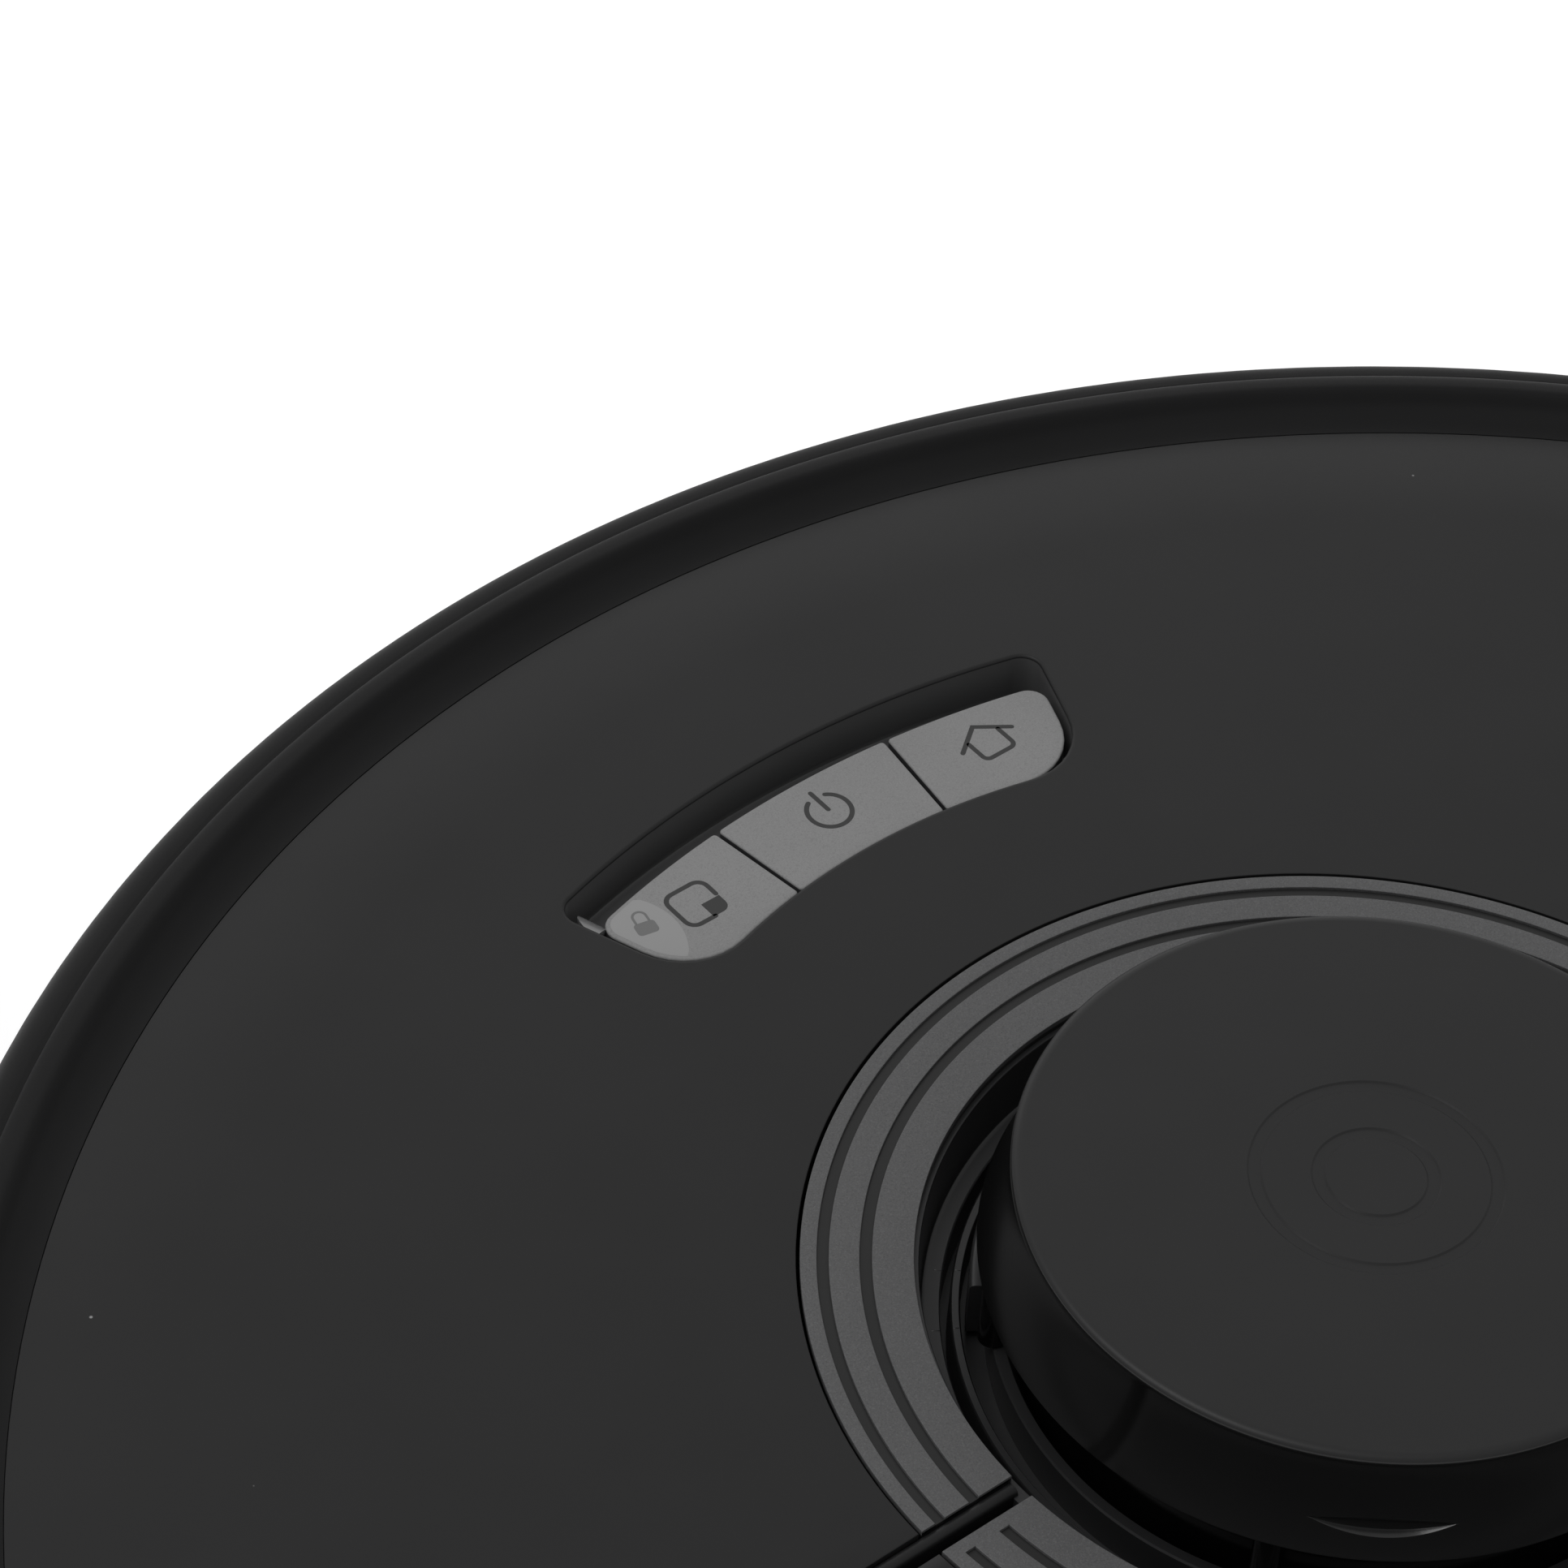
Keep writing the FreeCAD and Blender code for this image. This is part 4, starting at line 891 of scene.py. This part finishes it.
def lidar_rotor():
    """The spinning head below the cap, with a ring of small teeth round its foot."""
    bm = bmesh.new()
    neck = 33.0
    section = soften([(17.05, 64.6, 0), (34.5, 64.6, 0.2), (34.5, 65.4, 0.2), (neck, 65.8, 0.1),
                      (neck, 68.6, 0.1), (36, 69.0, 0.3), (36, 93, 0.8), (0, 93, 0), (0, 91, 0),
                      (34, 91, 0.4), (34, 77.7, 0.3), (17.05, 77.7, 0.2)], 4)
    spin(bm, section, TURRET, 200)
    for degrees in range(0, 360, 4):
        x, y = on_circle(neck + 0.05, degrees, TURRET)
        rounded_rod(bm, (x, y, 66.0), (x, y, 68.4), 0.45, 6, 0.05)
    piece("turret_rotor", "rotor", bm, "gloss_black", ["lidar_rotor"])


upper_shell()
turret_well()
lidar_cap()
lidar_rotor()


# ---- running gear and brushes
WHEEL = 33.0
TREAD = 1.5
HUB = WHEEL - 6.0
WHEEL_NEAR = 101.0
WHEEL_HALF = 10.0
LUGS = 42


def lay_along_x(bm, place):
    """Turns a drawing made about the Z axis so that it lies along X, and moves it."""
    bm.transform(Matrix.Translation(place) @ Matrix.Rotation(math.radians(90), 4, "Y"))


def tyre(side, sign):
    """A rubber tyre with two staggered rows of slanted lugs."""
    bm = bmesh.new()
    half = WHEEL_HALF
    crown = WHEEL - TREAD
    section = soften([(HUB, -half, 0.3), (crown, -half, 1.6), (crown, half, 1.6), (HUB, half, 0.3)], 4)
    spin(bm, section, steps=128)
    for row in (-1, 1):
        for number in range(LUGS):
            turn = 360 / LUGS * (number + (0.25 if row > 0 else -0.25))
            place = (Matrix.Rotation(math.radians(turn), 4, "Z")
                     @ Matrix.Translation((crown + TREAD / 2 - 0.3, 0, row * 4.9))
                     @ Matrix.Rotation(math.radians(28 * row), 4, "X"))
            block(bm, (TREAD + 0.5, 2.5, 7.6), place, 0.35)
    lay_along_x(bm, (sign * (WHEEL_NEAR + half), 0, WHEEL))
    piece("tyre_" + side, "wheel_" + side, bm, "tyre", ["wheel_tyre_" + side])


def hub(side, sign):
    """A dished hub with ribs, a cap and the stub axle on its inner side."""
    bm = bmesh.new()
    half = WHEEL_HALF
    section = soften([(0, -half, 0), (HUB, -half, 0.4), (HUB, half, 0.5), (HUB - 2.6, half, 0.5),
                      (HUB - 3.4, half - 6, 1.0), (9.5, half - 6, 0.8), (8.6, half - 1.4, 0.6),
                      (0, half - 1.4, 0)], 4)
    spin(bm, section, steps=96)
    for number in range(10):
        turn = Matrix.Rotation(math.radians(36 * number), 4, "Z")
        block(bm, (15.6, 1.5, 4.4), turn @ Matrix.Translation((16.4, 0, half - 4.4)), 0.3)
    for number in range(3):
        x, y = on_circle(5.4, 120 * number + 30)
        rounded_rod(bm, (x, y, half - 2), (x, y, half - 1.0), 1.3, 16, 0.2)
    rounded_rod(bm, (0, 0, -half - 12), (0, 0, -half + 1), 4.0, 32, 0.3)
    if sign < 0:
        bm.transform(Matrix.Rotation(math.radians(180), 4, "X"))
    lay_along_x(bm, (sign * (WHEEL_NEAR + half), 0, WHEEL))
    piece("hub_" + side, "wheel_" + side, bm, "inner_plastic", ["wheel_hub_" + side])


BRUSH_Y = -2.0
BRUSH_Z = 20.5
BRUSH_HALF = 72.0
BRUSH_CORE = 8.0
BRUSH_REACH = 19.5
BRUSH_TWIST = 95.0
TUFTS = 37
TUFT_BRISTLES = 14


def brush_angle(x, start):
    """Degrees about the main brush of a row that runs in a chevron from the middle to both ends."""
    return start + BRUSH_TWIST * abs(x) / BRUSH_HALF


def on_brush(x, radius, degrees):
    """A point on the main brush, whose axis lies along X."""
    return (x, *on_circle(radius, degrees, (BRUSH_Y, BRUSH_Z)))


def main_brush():
    """Three rubber vanes and three rows of bristle tufts in chevrons, on a core with low ribs."""
    bm = bmesh.new()
    section = [(BRUSH_CORE - 0.4, -9.0), (11.0, -4.2), (BRUSH_REACH - 0.8, -2.6), (BRUSH_REACH - 0.3, -0.9),
               (BRUSH_REACH - 0.8, 0.6), (11.0, 3.2), (BRUSH_CORE - 0.4, 9.0)]
    for start in (0, 120, 240):
        rows = []
        for step in range(73):
            x = -BRUSH_HALF + 2 * BRUSH_HALF * step / 72
            turn = brush_angle(x, start)
            rows.append([bm.verts.new(on_brush(x, radius, turn + offset)) for radius, offset in section])
        stitch(bm, rows)
        bm.faces.new(rows[0])
        bm.faces.new(rows[-1])
    piece("brush_vanes", "main_brush", bm, "bristle", look=LOOKS["rubber"])
    bm = bmesh.new()
    loose = random.Random(11)
    for start in (60, 180, 300):
        for tuft in range(TUFTS):
            x = -BRUSH_HALF + 1.5 + (2 * BRUSH_HALF - 3) * tuft / (TUFTS - 1)
            turn = brush_angle(x, start)
            root, tip = (on_brush(x, BRUSH_CORE + reach, turn) for reach in (-0.5, 0.7))
            rounded_rod(bm, root, tip, 1.5, 10, 0.2)
            for number in range(TUFT_BRISTLES):
                lean = loose.uniform(-5.5, 5.5)
                aside = loose.uniform(-1.9, 1.9)
                reach = BRUSH_REACH - loose.uniform(0, 0.7)
                root = on_brush(x + aside * 0.4, BRUSH_CORE, turn + lean * 0.4)
                tip = on_brush(x + aside, reach, turn + lean)
                rounded_rod(bm, root, tip, 0.17, 4, 0.05)
    piece("brush_tufts", "main_brush", bm, "bristle", ["brush_bristles"])
    bm = bmesh.new()
    rings = [(0, -80), (3, -79.5), (3, -74.2), (8, -74), (8, -72.6)]
    for x in range(-72, 72, 4):
        rings += [(7.6, x + 0.2), (7.6, x + 1.8), (8.0, x + 2.0), (8.0, x + 3.8)]
    rings += [(8, 74), (3, 74.2), (3, 79.5), (0, 80)]
    spin(bm, rings, steps=48)
    lay_along_x(bm, (0, BRUSH_Y, BRUSH_Z))
    piece("brush_spindle", "main_brush", bm, "inner_plastic", ["brush_core"])


SIDE_AT = (100.0, 101.0)
FANS = (35, 155, 275)
FAN_BRISTLES = 34
STEM_Z = 3.85


def side_brush():
    """Three fans of long bristles on flexible stems."""
    bm = bmesh.new()
    loose = random.Random(5)
    for degrees in FANS:
        for number in range(FAN_BRISTLES):
            lean = loose.uniform(-4.2, 4.2)
            root = (*on_circle(16.0, degrees + lean * 1.2, SIDE_AT), 3.9 + loose.uniform(-0.35, 0.35))
            reach = 60.0 - loose.uniform(0, 2.6)
            tip = (*on_circle(reach, degrees + lean, SIDE_AT), 3.2 + loose.uniform(-0.3, 0.5))
            rounded_rod(bm, root, tip, 0.22, 5, 0.06)
    piece("side_brush_fans", "side_brush", bm, "bristle", ["side_brush_bristles"])
    bm = bmesh.new()
    section = soften([(3.5, 2.9, 0.2), (11.4, 2.9, 0.4), (11.4, 4.55, 0.4), (3.5, 4.55, 0.1)], 3)
    spin(bm, section, SIDE_AT, 72)
    for degrees in FANS:
        root, tip = ((*on_circle(reach, degrees, SIDE_AT), STEM_Z) for reach in (9.0, 19.0))
        rounded_rod(bm, root, tip, 0.95, 16, 0.3)
    piece("side_brush_stems", "side_brush", bm, "bristle", look=LOOKS["rubber"])


CASTER_AT = (0.0, 131.0, 11.0)


def caster_wheel():
    """The caster's roller: a smooth tread with a pale half that the odometer reads."""
    bm = bmesh.new()
    half = [(1.56, -7.5, 0.1), (8.6, -7.5, 0.3), (9.0, -6.9, 0.2), (11, -6.9, 1.6)]
    other = [(radius, -z, rounding) for radius, z, rounding in reversed(half)]
    spin(bm, soften(half + other, 4), steps=96)
    lay_along_x(bm, CASTER_AT)
    roller = piece("caster_tread", "caster_roller", bm, "rubber", ["caster_wheel"])
    second_look(roller, LOOKS["filter_paper"], lambda at: at.z > CASTER_AT[2]
                and math.hypot(at.y - CASTER_AT[1], at.z - CASTER_AT[2]) > 10.4)


def battery_cover():
    """A flat cover with rounded corners, finger ribs and two catches; drawn face up, then turned over."""
    bm = bmesh.new()
    half, rear, front = 73.8, 58.2, 113.8
    face, thick = 9.3, 2.1
    outline = soften([(-half, rear, 3), (half, rear, 3), (half, front, 3), (-half, front, 3)])
    skin(bm, outline, [], thick, (0.5,), lambda x, y: -face)
    bm.transform(Matrix.Scale(-1, 4, (0, 0, 1)))
    for number in range(7):
        y = 64.4 + 2.6 * number
        box(bm, (-9, y, face - 0.3), (9, y + 1, face + 0.4), 0.2)
    for x in (-60, 60):
        box(bm, (x - 5, front - 3.3, face + 0.3), (x + 5, front, face + thick), 0.3)
    piece("battery_hatch", "body", bm, "underside_plastic", ["battery_cover"])


BIN_HALF = 78.0
BIN_FRONT = -38.0
BIN_ROUND = 156.0
BIN_TOP = 66.0
COVER_TOP = 68.2
DECK_TOP = 72.5


def bin_cover():
    """The bin's cover: rounded edges, a finger scoop and a ribbed bar across it on two feet."""
    side_angle = math.degrees(math.acos(BIN_HALF / BIN_ROUND))
    corner_y = -BIN_ROUND * math.sin(math.radians(side_angle))
    back = [(x, y, 0) for x, y in arc(BIN_ROUND, 180 + side_angle, 360 - side_angle, 40)[1:-1]]
    outline = soften([(BIN_HALF, BIN_FRONT, 4), (-BIN_HALF, BIN_FRONT, 4), (-BIN_HALF, corner_y, 4)]
                     + back + [(BIN_HALF, corner_y, 4)])
    scoop = soften([(-34, -106, 9), (34, -106, 9), (34, -82, 9), (-34, -82, 9)])
    bm = bmesh.new()
    skin(bm, outline, [list(reversed(scoop))], COVER_TOP - BIN_TOP, (0.7, 0.7), lambda x, y: COVER_TOP)
    walls = []
    for shift, z in ((0, BIN_TOP), (0.4, BIN_TOP - 2.2), (1.6, BIN_TOP - 4.2), (4.0, BIN_TOP - 5.2)):
        walls.append([bm.verts.new((x, y, z)) for x, y in inset(scoop, shift)])
    stitch(bm, walls)
    bm.faces.new(walls[-1])
    rear, front, top = -97.5, -90.5, 73.0
    box(bm, (-40, rear, COVER_TOP + 0.6), (40, front, top), 1.4)
    for x in (-37.4, 37.4):
        box(bm, (x - 2.4, rear + 0.1, COVER_TOP - 0.4), (x + 2.4, front - 0.1, COVER_TOP + 2), 0.3)
    for number in range(5):
        y = rear + 1.1 + 1.3 * number
        box(bm, (-8, y, top - 0.1), (8, y + 0.5, top + 0.15), 0.05)
    piece("bin_hatch", "bin", bm, "inner_plastic", ["bin_cover"])


def deck_details():
    """Low ribs and screw bosses moulded on the deck beside the bin."""
    bm = bmesh.new()
    for side in (-1, 1):
        for x in (92 * side, 106 * side, 120 * side):
            rear = 6 - half_chord(156, 0, x)
            box(bm, (x - 0.6, rear, DECK_TOP - 0.1), (x + 0.6, 20, DECK_TOP + 0.9), 0.2)
        for x, y in ((99 * side, 12), (113 * side, -70), (140 * side, -6)):
            rounded_rod(bm, (x, y, DECK_TOP - 0.1), (x, y, DECK_TOP + 1.6), 3.6, 28, 0.3)
            rounded_rod(bm, (x, y, DECK_TOP + 1.5), (x, y, DECK_TOP + 1.9), 2.4, 24, 0.15)
    piece("deck_ribs", "body", bm, "inner_plastic")


bin_cover()
deck_details()
for name, sign in (("left", -1), ("right", 1)):
    tyre(name, sign)
    hub(name, sign)
main_brush()
side_brush()
caster_wheel()
battery_cover()
dress_frame()


# ---- camera and light
IMAGE = 1932
FOCAL_PIXELS = 8114.6
LOOK_AZIMUTH = 42.244
LOOK_DOWN = 44.689
ROLL = 3.979
CAMERA_AT = (-359.6, -267.3, 606.7)
AIM = (0.0, 0.0, 0.05)
FLOOR_HALF = 6.0
WHITE = (1, 1, 1, 1)


def add_camera():
    """The camera at the photograph's place and angle."""
    azimuth, down, roll = (math.radians(angle) for angle in (LOOK_AZIMUTH, LOOK_DOWN, ROLL))
    look = Vector((math.sin(azimuth) * math.cos(down), math.cos(azimuth) * math.cos(down), -math.sin(down)))
    level = Vector((math.cos(azimuth), -math.sin(azimuth), 0))
    up = level.cross(look)
    right = level * math.cos(roll) + up * math.sin(roll)
    above = up * math.cos(roll) - level * math.sin(roll)
    data = bpy.data.cameras.new("camera")
    data.sensor_width = 36.0
    data.lens = FOCAL_PIXELS / IMAGE * data.sensor_width
    data.clip_start = 0.01
    camera = new_object("camera", data)
    place = Matrix((right, above, -look)).transposed().to_4x4()
    place.translation = Vector(CAMERA_AT) * MM
    camera.matrix_world = place
    bpy.context.scene.camera = camera


def add_area(name, place, size, power):
    """A soft rectangular light aimed at the robot."""
    data = bpy.data.lights.new(name, "AREA")
    data.shape = "RECTANGLE"
    data.size, data.size_y = size
    data.energy = power
    light = new_object(name, data)
    light.location = place
    light.rotation_euler = (Vector(AIM) - Vector(place)).to_track_quat("-Z", "Y").to_euler()


def add_stage():
    """A pale floor, an even white world and two lights."""
    floor = bpy.data.meshes.new("floor")
    corners = [(x * FLOOR_HALF, y * FLOOR_HALF, 0) for x, y in ((-1, -1), (1, -1), (1, 1), (-1, 1))]
    floor.from_pydata(corners, [], [(0, 1, 2, 3)])
    new_object("floor", floor)
    paint = bpy.data.materials.new("floor_paint")
    paint.use_nodes = True
    inputs = paint.node_tree.nodes["Principled BSDF"].inputs
    inputs["Base Color"].default_value = (*grey(0.97), 1)
    inputs["Roughness"].default_value = 0.9
    inputs["Emission Color"].default_value = WHITE
    inputs["Emission Strength"].default_value = 0.15
    floor.materials.append(paint)
    world = bpy.data.worlds.new("world")
    world.use_nodes = True
    background = world.node_tree.nodes["Background"]
    background.inputs["Color"].default_value = WHITE
    background.inputs["Strength"].default_value = 0.7
    scene = bpy.context.scene
    scene.world = world
    scene.view_settings.view_transform = "Standard"
    add_area("key_light", (-0.7, 0.5, 2.0), (1.2, 1.2), 14)
    add_area("far_light", (1.0, 1.9, 1.1), (2.0, 1.0), 5)


add_camera()
add_stage()
